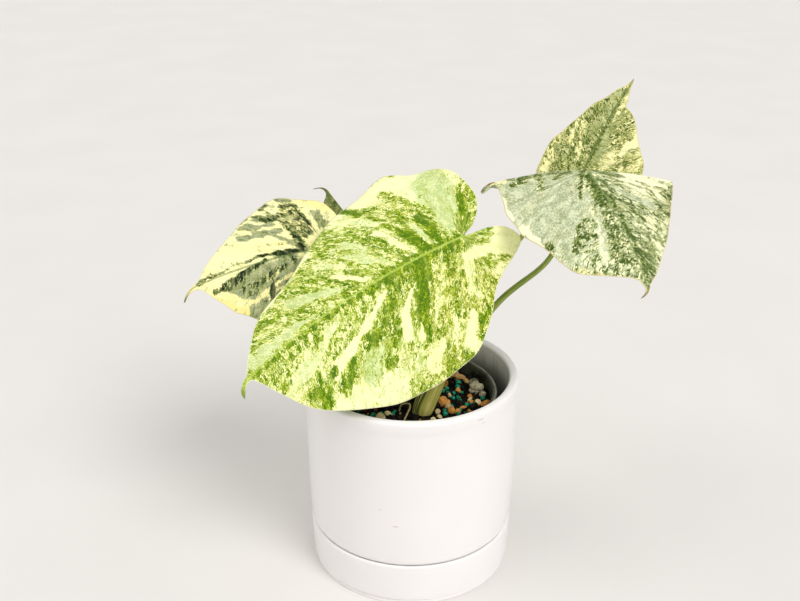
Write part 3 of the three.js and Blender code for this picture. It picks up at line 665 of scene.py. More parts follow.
# The same leaves as the solids, with a finer drip tip on the front one: rib and drip tip, face directions,
# fold and curl of each side, ripple (height and waves), outline of each side as s and w, and petiole, in mm.
# s runs along the rib and w out from it. A crest is a fold across a lobe, and hang lets the lobe beyond droop.
LEAVES = {
    "front": dict(
        rib=[[26.7, -8, 201.1], [-8, -16, 188], [-50, -40, 171], [-82.5, -62, 145.1]],
        drip=[-83.7, -69, 137.5],
        faces=[[0.05, -0.72, 0.69], [-0.1, -0.72, 0.69]],
        fold=[-20, -20], curl=[0.004, 0.003],
        ripple=(1, 5),
        right=[
            [-1, 1], [-8, 5], [-14, 14], [-17, 24], [-16, 36], [-12, 50], [-4, 59], [6, 62], [14, 68],
            [21, 70], [32, 65], [42, 63], [53, 58], [72, 45], [88, 35], [110, 28], [125, 13], [131.6, 5.4],
            [134.6, 1.9], [139, 1.3], [143, 1]],
        left=[
            [-2, 1], [-8, 1], [-14, 1], [-22, 4], [-27, 10], [-27, 15], [-21, 20], [-12, 26], [-5, 33],
            [1, 43], [11, 52], [22, 59], [37, 62], [52, 64], [66, 63], [81, 60], [99, 51], [115, 40],
            [123, 30], [129, 15], [132, 6], [134.2, 1.8], [139, 1.2], [143, 1]],
        rows=(90, 150), columns=70,
        petiole=[[17, -8.5, 122], [27, 0, 152], [31, 4, 180]],
    ),
    "left": dict(
        rib=[[-48, 25, 182], [-70, 15, 182], [-95.6, 4, 178], [-116, -5, 171]],
        drip=[-122.2, -10, 163.7],
        faces=[[-0.15, -0.65, 0.75], [-0.25, -0.7, 0.67]],
        fold=[-12, -12], curl=[0.002, 0.004],
        ripple=(0.8, 4),
        right=[
            [-1, 1], [-8, 5], [-14, 13], [-16, 24], [-14, 31], [-10, 38], [-4, 42], [3, 45], [10, 47],
            [17, 46], [27, 41], [37, 35], [44, 28], [52, 21], [65, 11], [73, 3], [80, 1]],
        left=[
            [-1, 1], [-8, 5], [-14, 13], [-14, 24], [-8, 33], [4, 40], [18, 43], [34, 40], [44, 35],
            [51, 30], [56, 26], [61, 22], [65, 16], [70, 9], [74, 3], [80, 1]],
        rows=(60, 100), columns=50,
        petiole=[[10, -10.5, 106], [-2, 6, 134], [-24, 22, 160]],
    ),
    "back": dict(
        rib=[[-34, 57, 155], [-39, 61, 169], [-44, 66, 185], [-49, 70, 198]],
        drip=[-58, 76, 199],
        faces=[[-0.1, -0.9, 0.4], [-0.3, -0.85, 0.4]],
        fold=[-10, -10], curl=[0.003, 0.003],
        ripple=(0.4, 3),
        right=[
            [-1, 1], [-7, 4], [-10, 10], [-7, 16], [2, 19], [14, 17], [25, 12], [32, 7], [36, 5], [42, 3],
            [45, 2], [49, 1]],
        left=[
            [-1, 1], [-7, 4], [-10, 10], [-7, 16], [2, 18], [14, 17], [25, 13], [34, 9], [39, 7], [44, 4],
            [46, 2], [49, 1]],
        rows=(30, 60), columns=26,
        petiole=[[9, -9, 103], [2, 16, 116], [-13, 46, 127], [-28, 66, 141]],
    ),
    "lower_right": dict(
        rib=[[93, 10, 231], [100.6, -9.1, 224.5], [109.1, -30.6, 210.3], [116, -48, 190]],
        drip=[112.8, -52, 184.8],
        faces=[[0.23, -0.53, 0.81], [0.4, -0.75, 0.53]],
        fold=[-12.5, -12], curl=[0.006, 0.0015], crest=dict(lean=[0.4, 0.02], bend=75, radius=4),
        ripple=(0.5, 4), hang=0.05,
        right=[
            [-1, 1], [-8, 4], [-15, 10], [-21, 19], [-25, 30], [-27, 38], [-26, 45], [-24, 51], [-21, 51],
            [-19, 46], [-12, 46], [-2, 48], [8, 50], [20, 49], [30, 48], [44, 41], [54, 37], [62, 31],
            [67, 17], [71, 5], [76, 1]],
        left=[
            [-1, 1], [-7, 5], [-11, 14], [-12, 28], [-12, 44], [-10, 54], [-5, 60], [-1, 61], [13, 54],
            [25, 46], [37, 38], [49, 30], [59, 21], [69, 11], [75, 3], [79, 1]],
        rows=(90, 100), columns=60,
        petiole=[[15, -9, 117], [49.3, 10, 155.7], [75.2, 14, 178.3], [84, 19, 196], [90, 17, 218]],
    ),
    "upper_right": dict(
        rib=[[95, 50, 211], [101, 54, 228.5], [114.5, 67, 248], [125.5, 74, 263]],
        drip=[127.2, 76, 264.8],
        faces=[[-0.1, -0.93, 0.38], [-0.3, -0.9, 0.5]],
        fold=[15, 15], curl=[0.003, 0.003],
        ripple=(0.5, 3),
        right=[
            [-1, 1], [-9, 5], [-14, 14], [-13, 24], [-6, 31], [4, 34], [18, 32], [25, 30], [30, 26],
            [36, 21], [43, 16], [48, 11], [51, 5], [55, 4], [60, 2]],
        left=[
            [-1, 1], [-9, 5], [-14, 13], [-11, 21], [-2, 25], [5, 25], [16, 24], [22, 21], [29, 18],
            [36, 15], [44, 12], [50, 8], [57, 5], [62, 2]],
        rows=(50, 90), columns=44,
        petiole=[[13, -9, 112], [34, 14, 148], [63.4, 41, 182], [84, 58, 196]],
    ),
}

FLAT = dict(lean=[0, 0], bend=0, radius=5)
VEIN_LEAN = 0.45
VEIN_BOW = 1.3
TIP_SPACING = 0.85
RIPPLE_REACH = 20
LOBE_SPREAD = 30
# Where a hanging lobe starts, as distance out from the rib and back from the petiole
HANG_FROM, HANG_BACK, HANG_BLEND = 43, 16, 5
RIB_SAMPLES, OUTLINE_SAMPLES = 400, 2400


class Blade:
    """The surface of a leaf's blade, the same one that the solid follows."""

    def __init__(self, leaf):
        self.leaf = leaf
        self.crest = leaf.get("crest", FLAT)
        self.rib = np.array(leaf["rib"], float)
        self.end = np.array(leaf["drip"], float)
        self.faces = [unit(f) for f in leaf["faces"]]
        t = np.linspace(0, 1, RIB_SAMPLES)[:, None]
        self.length = np.linalg.norm(np.diff(self.bezier(t), axis=0), axis=1).sum()
        self.drip = np.linalg.norm(self.end - self.rib[3])
        self.total = self.length + self.drip

    def bezier(self, t):
        a, b, c, d = self.rib
        u = 1 - t
        return u**3 * a + 3 * u * u * t * b + 3 * u * t * t * c + t**3 * d

    def slope(self, t):
        a, b, c, d = self.rib
        u = 1 - t
        return unit(3 * u * u * (b - a) + 6 * u * t * (c - b) + 3 * t * t * (d - c))

    def frames(self, s):
        """Point, ahead, across and up at distances s along the rib."""
        share = np.clip(s / self.length, 0, 1)[..., None]
        past = np.clip((s - self.length) / self.drip, 0, 1)[..., None]
        tip = self.rib[3]
        bow = tip + self.slope(np.array([1.0])) * self.drip / 2
        beyond = (1 - past) ** 2 * tip + 2 * past * (1 - past) * bow + past**2 * self.end
        beyond_ahead = unit((1 - past) * (bow - tip) + past * (self.end - bow))
        ahead = np.where(past > 0, beyond_ahead, self.slope(share))
        point = np.where(past > 0, beyond, self.bezier(share)) + ahead * np.minimum(s, 0)[..., None]
        face = unit(self.faces[0] * (1 - share) + self.faces[1] * share)
        across = unit(np.cross(ahead, face))
        return point, ahead, across, np.cross(across, ahead)

    def points(self, s, w, side):
        """Points of the blade; side is 1 right of the rib and -1 left of it, and w is never negative."""
        leaf, crest, k = self.leaf, self.crest, 0 if side > 0 else 1
        crest_at = -crest["lean"][k] * w
        beyond = np.maximum(0, crest_at - s) * (crest["bend"] > 0)
        point, ahead, across, up = self.frames(np.where(beyond > 0, crest_at, s))
        fold = math.radians(leaf["fold"][k])
        out = across * side * math.cos(fold) + up * math.sin(fold)
        over = up * math.cos(fold) - across * side * math.sin(fold)
        point = point + out * w[..., None] - over * (leaf["curl"][k] * w * w / 2)[..., None]
        turn = np.minimum(beyond / crest["radius"], math.radians(crest["bend"]))
        straight = beyond - turn * crest["radius"]
        back = crest["radius"] * np.sin(turn) + straight * np.cos(turn)
        down = crest["radius"] * (1 - np.cos(turn)) + straight * np.sin(turn)
        point = point - ahead * back[..., None] - up * down[..., None]
        if side > 0 and "hang" in leaf:
            start = smoothstep(-HANG_BACK, -HANG_BACK - HANG_BLEND, s)
            hang = leaf["hang"] * np.maximum(w - HANG_FROM, 0) ** 2 * start
            point = point - hang[..., None] * np.array([0, 0, 1])
        return point


def spline(points, count):
    """A uniform Catmull-Rom spline through the points."""
    p = np.array(points, float)
    q = np.vstack([p[:1], p, p[-1:]])
    t = np.linspace(0, len(p) - 1, count + 1)
    i = np.minimum(t.astype(int), len(p) - 2)
    f = (t - i)[:, None]
    p0, p1, p2, p3 = q[i], q[i + 1], q[i + 2], q[np.minimum(i + 3, len(q) - 1)]
    v0, v1 = (p2 - p0) / 2, (p3 - p1) / 2
    return (2 * p1 - 2 * p2 + v0 + v1) * f**3 + (-3 * p1 + 3 * p2 - 2 * v0 - v1) * f**2 + v0 * f + p1


def vein_rows(blade, outline, lobe_rows, rib_rows):
    """Rows from the rib out to the margin: foot on the rib, end on the outline, share of the outline, and the
    coordinate across the veins, which is the foot on the rib and the angle about the petiole in the lobes."""
    samples = spline([*outline, [blade.total, 0]], OUTLINE_SAMPLES)
    feet = np.maximum.accumulate(np.maximum(samples[:, 0] - VEIN_LEAN * samples[:, 1], 0))
    first = int(np.argmax(feet > 0))
    index = [round(row / lobe_rows * first) for row in range(lobe_rows)]
    foot = [0.0] * lobe_rows
    for row in range(rib_rows + 1):
        station = blade.total * (row / rib_rows) ** TIP_SPACING
        index.append(OUTLINE_SAMPLES if row == rib_rows else int(np.argmax(feet > station)))
        foot.append(station)
    index, foot = np.array(index), np.array(foot)
    end = samples[index]
    end[:, 1] = np.maximum(end[:, 1], 0)
    angle = np.arctan2(end[:, 1], end[:, 0])
    lobe_angle = math.atan2(1, VEIN_LEAN)
    across = np.where(foot > 0, foot, -LOBE_SPREAD * np.maximum(angle - lobe_angle, 0))
    return foot, end, index / OUTLINE_SAMPLES, across


# ---- Leaf colouring

# Tones from bare cream to the darkest green, the thin sage layer in two tones, rib, margin, drip tip and
# veins. speck is the finest noise across and along the veins, mottle the gain of the fine, streaky and blotchy
# noise, shards the pale streaks, soft the sage's edge, full the mottle left in full green, wash the warm tint.
PALETTES = {
    "front": dict(
        tones=[(253, 255, 192), (214, 226, 92), (170, 190, 26), (130, 158, 0), (74, 116, 0)],
        sage=[(178, 200, 116), (232, 242, 180)], rib=(180, 202, 84), edge=(250, 248, 200),
        drip=(120, 142, 36), veins=(200, 214, 110), speck=(0.95, 0.38), mottle=(4.6, 2.2, 0.8), shards=0.45,
        soft=0.12, full=0.5, wash=0.25),
    "left": dict(
        tones=[(254, 248, 182), (204, 202, 124), (132, 146, 78), (60, 84, 30), (8, 24, 4)],
        sage=[(104, 122, 84), (172, 180, 138)], rib=(92, 112, 58), edge=(238, 222, 154), drip=(92, 98, 44),
        veins=(214, 212, 144), speck=(0.52, 0.3), mottle=(3.4, 1.5, 1.8), shards=0.35, soft=0.2, full=0.7,
        wash=0.3),
    "back": dict(
        tones=[(196, 198, 124), (166, 174, 106), (134, 145, 80), (106, 118, 58), (72, 86, 38)],
        sage=[(120, 132, 90), (146, 156, 112)], rib=(96, 108, 64), edge=(116, 126, 78), drip=(74, 80, 42),
        veins=(96, 108, 64), speck=(0.8, 0.5), mottle=(4.4, 1.2, 1.0), shards=0.3, soft=0.2, full=0.8,
        wash=0.3),
    "lower_right": dict(
        tones=[(253, 252, 210), (222, 225, 164), (166, 179, 98), (106, 126, 50), (52, 76, 18)],
        sage=[(146, 159, 117), (226, 230, 192)], rib=(124, 142, 88), edge=(238, 216, 160), drip=(122, 84, 50),
        veins=(116, 134, 88), speck=(0.86, 0.36), mottle=(6.0, 2.0, 0.8), shards=0.3, soft=0.1, full=0.6,
        wash=0.2),
    "upper_right": dict(
        tones=[(255, 250, 188), (224, 222, 138), (168, 177, 88), (114, 132, 50), (62, 82, 20)],
        sage=[(142, 155, 100), (200, 206, 152)], rib=(112, 130, 70), edge=(220, 204, 140),
        drip=(124, 124, 58), veins=(128, 142, 84), speck=(0.82, 0.46), mottle=(6.2, 1.6, 0.6), shards=0.25,
        soft=0.16, full=0.8, wash=0.3),
}

# Where the green density takes the five tones, and how it is squeezed into a ramp
TONE_STOPS, SQUEEZE, LIFT = (0.32, 0.44, 0.58, 0.8, 1.06), 0.5, 0.15


def leaf_shader(name, seed):
    """Variegated tissue whose tone follows the green density, broken up by noise along the veins."""
    look = PALETTES[name]
    s = Shader("leaf_" + name, IOR=1.4, Specular_IOR_Level=0.22)
    lay = s.attribute("lay")
    green, sage, warm = s.parts(s.attribute("tissue"))
    margin, rib, under = s.parts(s.attribute("edge"))
    vein, tip = s.parts(s.attribute("relief"))[:2]
    bent = s.scaled(s.noise(s.scaled(lay, 0.16, 0.08, 1, (3, 5, seed)), 5.0, output="Color"), 7, 9, 0, lay)

    def layer(across, along, shift, detail, roughness=0.6, way=bent):
        """Noise with so many features per mm across and along the veins."""
        return s.noise(s.scaled(way, across, along, 1, shift), 1.0, detail, roughness)

    fine = layer(*look["speck"], (0, 0, seed), 4.0, 0.68)
    streak = layer(0.52, 0.05, (9, 4, seed), 3.0)
    blotch = layer(0.34, 0.2, (2, 8, seed), 4.0)
    # Sharp pale shards along the veins; bare and full tissue stays calmer than the mottled one between
    shard = s.step(layer(0.4, 0.13, (5, 3, seed), 3.0), 0.56, 0.6)
    lively = s.times(s.step(green, -0.15, 0.3, 0.25, 1.0), s.step(green, 0.86, 1.04, 1.0, look["full"]))
    mottle = s.times(shard, -look["shards"])
    for noise, gain in zip((fine, streak, blotch), look["mottle"]):
        mottle = s.math("ADD", mottle, s.times_plus(noise, gain, -gain / 2))
    tone = s.times_plus(lively, mottle, green)
    tissue = s.ramp(s.times_plus(tone, SQUEEZE, LIFT),
                    *((SQUEEZE * at + LIFT, colour) for at, colour in zip(TONE_STOPS, look["tones"])))

    cloud = layer(0.3, 0.17, (2, 7, seed + 4), 4.0)
    grain = layer(1.15, 0.8, (1, 1, seed), 3.0, 0.7, lay)
    sage_tone = s.mix(s.step(s.times_plus(grain, 0.5, s.times(cloud, 0.5)), 0.4, 0.6), *look["sage"])
    sage_edge = s.times_plus(grain, 0.8, s.times_plus(cloud, 2.2, s.math("ADD", sage, -2.0)))
    sage_mask = s.step(s.times_plus(shard, 0.4, sage_edge), -look["soft"], look["soft"])
    sage_mask = s.times(sage_mask, s.step(blotch, 0.36, 0.56, 1 - look["soft"], 1))
    tissue = s.mix(s.times(sage_mask, s.step(tone, 0.56, 0.36)), tissue, sage_tone)
    wash = s.step(layer(0.09, 0.06, (6, 2, seed), 4.0, way=lay), 0.42, 0.66, 0, look["wash"])
    tissue = s.mix(s.math("MAXIMUM", warm, wash), tissue, (248, 233, 188), "MULTIPLY")

    tissue = s.mix(s.times(vein, 0.22), tissue, look["veins"])
    line = s.times(s.step(rib, 0.95, 0.35), s.times_plus(tip, -0.3, 0.78))
    tissue = s.mix(line, tissue, look["rib"])
    tissue = s.mix(s.step(margin, 0.75, 0.3, 0, 0.8), tissue, look["edge"])
    tissue = s.mix(s.step(tip, 0.93, 1.0), tissue, look["drip"])
    # The underside is paler and duller
    s.set("Base Color", s.mix(s.times(under, 0.4), tissue, (182, 194, 142)))
    s.set("Roughness", s.step(grain, 0.2, 0.8, 0.38, 0.52))
    s.bump(fine, 0.0004, 0.45)
    s.bump(grain, 0.0003, 0.5)
    return s.material


# Share of green, share of sage, warmth
DARK = (1.0, 0, 0)
GREEN = (0.9, 0, 0)
RICH = (0.76, 0, 0)
THIN = (0.3, 0, 0.2)
CREAM = (-0.2, 0, 0)
MINT = (0.02, 1, 0)
FAINT = (0.12, 0.45, 0)

# Markings of each leaf: the base, then strokes from s, w to s, w with the half width at both ends in mm, and the
# tissue. Here w is negative on the rib's left.
MARKINGS = {
    "front": ((0.66, 0.15, 0.1), [
        # Left of the rib
        (0, -30, 24, -30, 22, 22, (0.68, 0, 0.45)), (28, -54, 54, -52, 8, 8, (0.6, 0, 0.4)),
        (50, -46, 74, -50, 7, 8, (0.34, 0.3, 0.1)), (78, -52, 112, -44, 10, 9, (0.06, 0.3, 0)),
        (4, -3, 60, -4, 4, 5, (0.84, 0, 0.2)), (60, -5, 122, -7, 7, 4, (0.64, 0.1, 0.1)),
        (4, -1.5, 62, -2, 2, 2, (1.0, 0, 0.15)), (60, -1.6, 130, -1.6, 1.6, 1.2, (0.96, 0, 0.1)),
        (3, -12, 7, -30, 2.5, 3.5, (0.16, 0, 0)), (18, -9, 30, -26, 1.2, 2.5, (0.3, 0, 0.2)),
        (22, -34, 32, -48, 3, 3.5, (0.2, 0.1, 0.1)), (-2, -36, 6, -46, 2, 4, (0.5, 0, 0.4)),
        (5, -43, 12, -42, 2.5, 3, GREEN), (12, -54, 26, -58, 3, 3, RICH),
        (34, -40, 37, -50, 2.5, 2.5, (0.75, 0, 0.3)), (36, -54, 44, -60, 3, 3, (0.75, 0, 0.4)),
        (56, -54, 68, -58, 3, 3, (0.5, 0, 0.1)), (30, -6, 37, -20, 4, 5, DARK),
        (37, -20, 48, -38, 5, 4.5, (1.0, 0, 0)), (50, -38, 56, -48, 4, 3, (0.5, 0.3, 0)),
        (30, -22, 37, -37, 1.2, 2, (0.3, 0.1, 0.1)), (41, -13, 50, -22, 0.8, 2.6, CREAM),
        (50, -22, 55, -33, 2.8, 2.8, CREAM), (45, -31, 49, -37, 0.8, 1.6, (0, 0.1, 0)),
        (15, -40, 24, -53, 3, 3.6, (0.04, 0.1, 0)), (5, -41, 9, -45, 2, 2.4, (1.0, 0, 0)),
        (40, -46, 50, -54, 2.4, 3.6, (0.1, 0.1, 0)), (18, -22, 21, -34, 2.6, 3.4, (0.74, 0, 0.3)),
        (48, -7, 60, -20, 2.5, 4.5, (0.95, 0, 0.1)), (60, -20, 72, -37, 4.5, 4.5, (0.86, 0, 0)),
        (74, -31, 84, -40, 5, 4, (0.3, 0.95, 0)), (54, -7, 72, -17, 0.6, 1.6, CREAM),
        (72, -17, 99, -27, 1.8, 3.6, CREAM), (62, -20, 78, -29, 2.4, 4, (0.98, 0, 0)),
        (77, -32, 85, -43, 3.6, 2.6, (0.3, 1, 0)), (88, -28, 101, -37, 2.2, 3.6, (0.98, 0, 0)),
        (107, -24, 114, -37, 3.6, 4, (0.94, 0, 0)), (100, -26, 114, -28, 2, 2.5, GREEN),
        (76, -10, 104, -22, 1, 2.2, (0.5, 0, 0)), (84, -7, 112, -19, 1, 2.6, (0.08, 0.5, 0)),
        (100, -8, 126, -22, 1, 2.4, (0.12, 0.5, 0)), (112, -24, 124, -26, 2, 2, THIN),
        # Left lobe
        (-25, -5, -14, -20, 9, 6, (0.06, 0, 0.1)), (-14, -11, 2, -10, 3.4, 3, CREAM),
        (-17, -20, -6, -18, 2, 3, (0.72, 0, 0.3)), (-13, -3, -5, -3, 2, 2, RICH),
        (-11, -8, -6, -5, 1.2, 1.2, (0.6, 0, 0.3)), (-3, -3, 4, -5, 2, 3, (0.8, 0, 0.2)),
        # Right of the rib
        (8, 60, 54, 64, 7, 10, CREAM), (12, 40, 15, 62, 2.2, 6, CREAM), (28, 56, 30, 64, 5, 5, CREAM),
        (-14, 44, -9, 56, 4, 5, CREAM), (5.5, 8, -1, 49, 3.6, 11.5, MINT),
        (-3, 18, -5, 32, 2.5, 4, (0.18, 1, 0)), (8, 36, 5, 52, 2.5, 4, (0.18, 1, 0)),
        (0, 5, -10, 22, 1.6, 4.6, (0.72, 0, 0.25)), (-10, 22, -15, 38, 4.6, 3, (0.62, 0, 0.35)),
        (-2, 3, -7, 13, 3, 3, (0.95, 0, 0)), (-5, 14, -8.6, 28, 1.4, 1.8, DARK),
        (-13, 38, -11, 50, 2.5, 3, (0.2, 0.2, 0)), (12, 1.5, 52, 2.4, 1.6, 2.2, (0.98, 0, 0)),
        (12.5, 2.4, 14.5, 14, 2.8, 3.8, DARK), (14.5, 14, 17.5, 31, 3.8, 3.8, DARK),
        (19, 32, 24, 56, 4, 3, (0.66, 0, 0.3)), (23.5, 2.5, 28, 24, 2.8, 4, DARK),
        (18.6, 6, 21.7, 22, 0.7, 1.4, (0, 0.8, 0)), (28, 27, 35, 48, 5, 4.5, (0.72, 0, 0.2)),
        (25, 40, 29, 52, 1.6, 2, THIN), (29.5, 3.4, 39, 29, 0.8, 3.4, CREAM),
        (33, 5, 41, 20, 0.4, 0.5, (1, 0, 0)), (37, 6, 42, 22, 1.4, 2.4, (0.84, 0, 0)),
        (42, 22, 60, 48, 5, 6, (0.76, 0, 0)), (36, 36, 48, 52, 1.8, 4.2, FAINT),
        (48, 50, 58, 58, 4, 3, (0.1, 0.2, 0)), (40, 51, 43, 60, 3.2, 3.6, (1.02, 0, 0)),
        (43, 4, 58, 24, 1, 3.4, (0.14, 0.6, 0)), (50, 24, 56, 33, 2, 2.4, (0.24, 0.6, 0)),
        (52, 4, 66, 24, 1, 2.6, (0.74, 0, 0)), (60, 4, 70, 16, 0.8, 2.2, CREAM),
        (66, 28, 76, 38, 3, 4, (0.6, 0.1, 0.2)), (64, 20, 72, 30, 2, 2.4, (0.12, 0.5, 0)),
        (66, 5, 84, 30, 1, 2.4, (0.82, 0, 0)), (73, 8, 95, 21, 1.6, 3.6, (0.02, 1, 0)),
        (80, 18, 100, 31, 2, 2.6, (0.74, 0, 0)), (80, 4, 112, 22, 0.8, 2.2, (0.84, 0, 0)),
        (92, 3.4, 127, 6, 1.4, 3.6, (0.02, 0.85, 0)), (104, 14, 118, 17, 2, 2, THIN),
        (74, 42, 106, 29, 1.5, 1.2, CREAM),
    ]),
    "left": ((0.02, 0.1, 0), [
        (16, -12, 50, -11, 12, 9, (0.5, 0.9, 0.1)), (20, -34, 46, -30, 13, 8, (0.34, 1, 0.1)),
        (44, -22, 54, -27, 4, 3.4, (0.4, 1, 0)), (48, -16, 60, -14.5, 3, 2.4, (0.42, 1, 0)),
        (56, -24, 70, -9, 3, 2, (0.05, 0.1, 0.7)), (22, -4, 40, -7, 2.6, 2.6, (0.4, 1, 0)),
        (52, -19, 62, -12, 1.6, 1.6, (0.1, 0.1, 0.5)), (20, -10, 44, -18, 0.7, 1.5, (0, 0, 0.4)),
        (30, -17, 54, -21, 0.7, 1.3, (0, 0, 0.5)), (36, -15, 39, -20, 1.4, 1.4, (1.05, 0.3, 0)),
        (26, -6, 46, -12, 1.2, 2, (0.84, 0.3, 0.2)), (34, 0.6, 60, -6.4, 1.2, 2, (1.0, 0.6, 0)),
        (58, -7, 67, -7.6, 1.8, 1.6, (0.9, 0.6, 0)), (40, 1, 66, -2.8, 0.5, 1.8, CREAM),
        (14, 1, 38, 4.4, 1.3, 1.6, (1.05, 0.6, 0)), (36, 4.4, 52, 5.6, 1.5, 2.2, (0.86, 0.5, 0)),
        (50, 5, 74, 1, 2.2, 1.4, (0.9, 0.6, 0)), (46, 8, 64, 5, 1, 1.6, (0.5, 0.1, 0.2)),
        (-8, 34, -2, 42, 6, 5, (-0.1, 0, 0.5)), (24, 9, 60, 9, 2, 6, CREAM),
        (13, 3, 12, 20, 3, 5.4, (1.0, 0.6, 0.2)), (8, 12, 9, 36, 4, 7, (0.66, 0.2, 0.2)),
        (6, 14, 5, 30, 2.6, 2.6, (0.86, 0.3, 0)), (14, 18, 16, 32, 2.2, 3, (0.72, 0.3, 0)),
        (-5, 17, -4, 30, 2.8, 3.2, (0.5, 1, 0.1)), (22, 30, 28, 35, 3.4, 3.4, (0.82, 0.9, 0)),
        (20, 20, 42, 21, 2, 3, (0.3, 1, 0)), (22, 26, 39, 30, 1.6, 2.4, (0.3, 1, 0)),
        (17, 8, 27, 20, 0.8, 1.4, (0.36, 0.9, 0.2)), (20, 8, 30, 11, 0.8, 1, (0.2, 0, 0.5)),
        (8, 44, 12, 45, 2, 2, (0.45, 1, 0)), (21, 42.5, 25, 41, 1.6, 1.6, (0.55, 0.8, 0)),
        (33, 38, 38, 35, 1.2, 1.2, (0.35, 1, 0)),
    ]),
    "back": ((0.7, 0.4, 0), []),
    "lower_right": ((0.62, 0.2, 0), [
        (-4, 30, 34, 28, 24, 20, MINT), (36, 42, 56, 36, 8, 4, MINT), (-18, 24, -20, 42, 10, 8, (0.1, 1, 0)),
        (30, 10, 66, 12, 5, 14, (0.62, 0.3, 0)), (2, 2, 34, 4, 2.4, 4.6, (0.76, 0.5, 0)),
        (0, 2.4, 30, 3.4, 2, 2.6, (0.98, 0.5, 0)), (1, 4, 12, 9, 2, 2.2, (1.0, 0.3, 0)),
        (14, 11, 22, 13, 1.4, 1, (0.96, 0.5, 0)), (13, 7.6, 33, 15, 0.8, 2.8, (0.02, 0.7, 0)),
        (28, 7, 55, 15, 0.8, 2.2, (0.1, 0.9, 0)), (-8, 3, -16, 8, 2, 2.4, (0.96, 0.5, 0)),
        (-21, 18, -18, 19, 3, 3, (0.9, 0.3, 0)), (-6, 25, -1, 28, 3, 3, (0.9, 0.3, 0)),
        (-4, 10, -3, 18, 1.8, 1.8, (0.94, 0, 0)), (-10, 32, -11, 38, 2.6, 2.2, (0.9, 0.3, 0)),
        (-6, 14, -19, 46, 0.8, 1.3, (0.82, 0.8, 0)), (-16, 40, -20, 46, 1.6, 1.2, (0.2, 0, 0.3)),
        (-22, 32, -22, 37, 2.2, 2, (0.9, 0, 0)), (35, 17, 48, 23, 3, 4.6, (0.8, 0.3, 0)),
        (36, 20, 52, 29, 2, 2, (0.88, 0.2, 0)), (37, 4, 58, 9, 1.8, 3, (0.84, 0.3, 0)),
        (56, 24, 62, 28, 3, 3, (0.6, 0.3, 0)), (34, 11, 64, 17, 0.8, 1.6, (0.1, 0.4, 0)),
        (45.9, 36.3, 61.4, 25.9, 2.4, 2, (0.12, 1, 0)), (-14, 47, 14, 50, 1.6, 2, CREAM),
        (26, 46, 42, 43, 3, 1.6, (-0.1, 0, 0.15)), (42, 39, 47, 40, 1.6, 1.8, (0.9, 0.4, 0)),
        (60, 30, 66, 20, 1.2, 1.2, (0.4, 0, 0.6)), (6, -28, 16, -54, 11, 10, CREAM),
        (-4, -24, -6, -60, 3, 5, (-0.05, 0.2, 0)), (8, -34, 10, -52, 2, 3, (0.62, 0, 0.3)),
        (16, -47, 30, -41, 3.6, 3.6, (0.76, 0, 0.3)), (24, -36, 46, -26, 3, 3.4, (0.72, 0, 0.2)),
        (-3, -4, -9, -30, 2.2, 1.4, (0.95, 1, 0)), (1, -5, 3, -23, 1.6, 2.4, (0.9, 1, 0)),
        (4, -26, 9, -42, 1.2, 1.4, (0.66, 0, 0.2)), (15, -9, 27, -29, 1.2, 3, (0.04, 1, 0)),
        (6, -12, 12, -30, 0.9, 1.4, (0.8, 0, 0.1)), (9, -34, 32, -38, 2, 2.8, (0.68, 0, 0.2)),
        (5, -56, 18, -50, 1.4, 1.6, (0.8, 0, 0.2)), (32, -41, 38, -33, 2.4, 3, (0.88, 0, 0.1)),
        (38, -34, 62, -17, 4, 3, (0.52, 0.2, 0.1)), (6, -4, 20, -7, 1.4, 2, (0.6, 0.4, 0)),
        (8, -3, 30, -9, 1.6, 2.4, (0.9, 0.5, 0)), (24, -9, 36, -20, 3, 4.4, (0.82, 0.4, 0)),
        (26, -4, 66, -10, 3, 6, (0.76, 0.4, 0)), (22, -1.6, 68, -3, 1.6, 2, (0.98, 0.4, 0)),
        (38, -22, 56, -20, 3, 2.4, THIN), (62, -10, 76, -2, 3, 2, (0.86, 0.8, 0)),
    ]),
    "upper_right": ((0.6, 0.3, 0.1), [
        (8, -14, 48, -8, 11, 6, (0.76, 0.5, 0.05)), (4, -21, 20, -22, 3, 2, (0.5, 0, 0.2)),
        (2, -22, 5, -21, 2, 2, CREAM), (14, -6, 32, -12, 1, 1.4, THIN),
        (20, -15, 34, -15, 1.2, 1, (0.3, 0, 0.2)), (34, -4, 56, -3, 2.4, 2, (0.42, 1, 0)),
        (14, 3, 44, 4, 2, 3, (0.44, 1, 0)), (40, 3, 58, 3, 0.6, 1.2, (0.2, 0.2, 0.1)),
        (14, 10, 24, 14, 1.6, 3, (0.24, 0, 0.1)), (26, 16, 37, 20, 1.6, 3, CREAM),
        (18, 26, 26, 27, 3, 2.4, (0.24, 0, 0.2)), (28, 12, 42, 13, 2, 3, RICH),
        (14, 19, 24, 22, 1.6, 2, RICH), (12, 1, 60, 0, 1.2, 0.8, (0.95, 0.8, 0)),
        (-8, 10, 10, 26, 6, 7, (0.55, 0.2, 0.1)),
    ]),
}

FRAY_SCALE, FRAY_SEED = (0.34, 0.12, 1), 21


def tissue(name, s, w, lay):
    """The base of the leaf's markings, then each stroke laid over it with a frayed edge."""
    base, strokes = MARKINGS[name]
    fray = fbm(lay * np.array(FRAY_SCALE), 4, FRAY_SEED) - 0.5
    fields = np.ones(s.shape + (3,)) * np.array(base)
    for s0, w0, s1, w1, r0, r1, kind in strokes:
        d = np.array([s1 - s0, w1 - w0], float)
        t = np.clip(((s - s0) * d[0] + (w - w0) * d[1]) / max(d @ d, 1e-6), 0, 1)
        radius = r0 + (r1 - r0) * t
        ragged = fray * np.minimum(4.2 / radius**0.5, 3)
        away = np.hypot(s - s0 - t * d[0], w - w0 - t * d[1]) / radius + ragged
        cover = smoothstep(1.45, 0.6, away)[..., None]
        fields = fields * (1 - cover) + np.array(kind) * cover
    return fields


# ---- Leaf blades

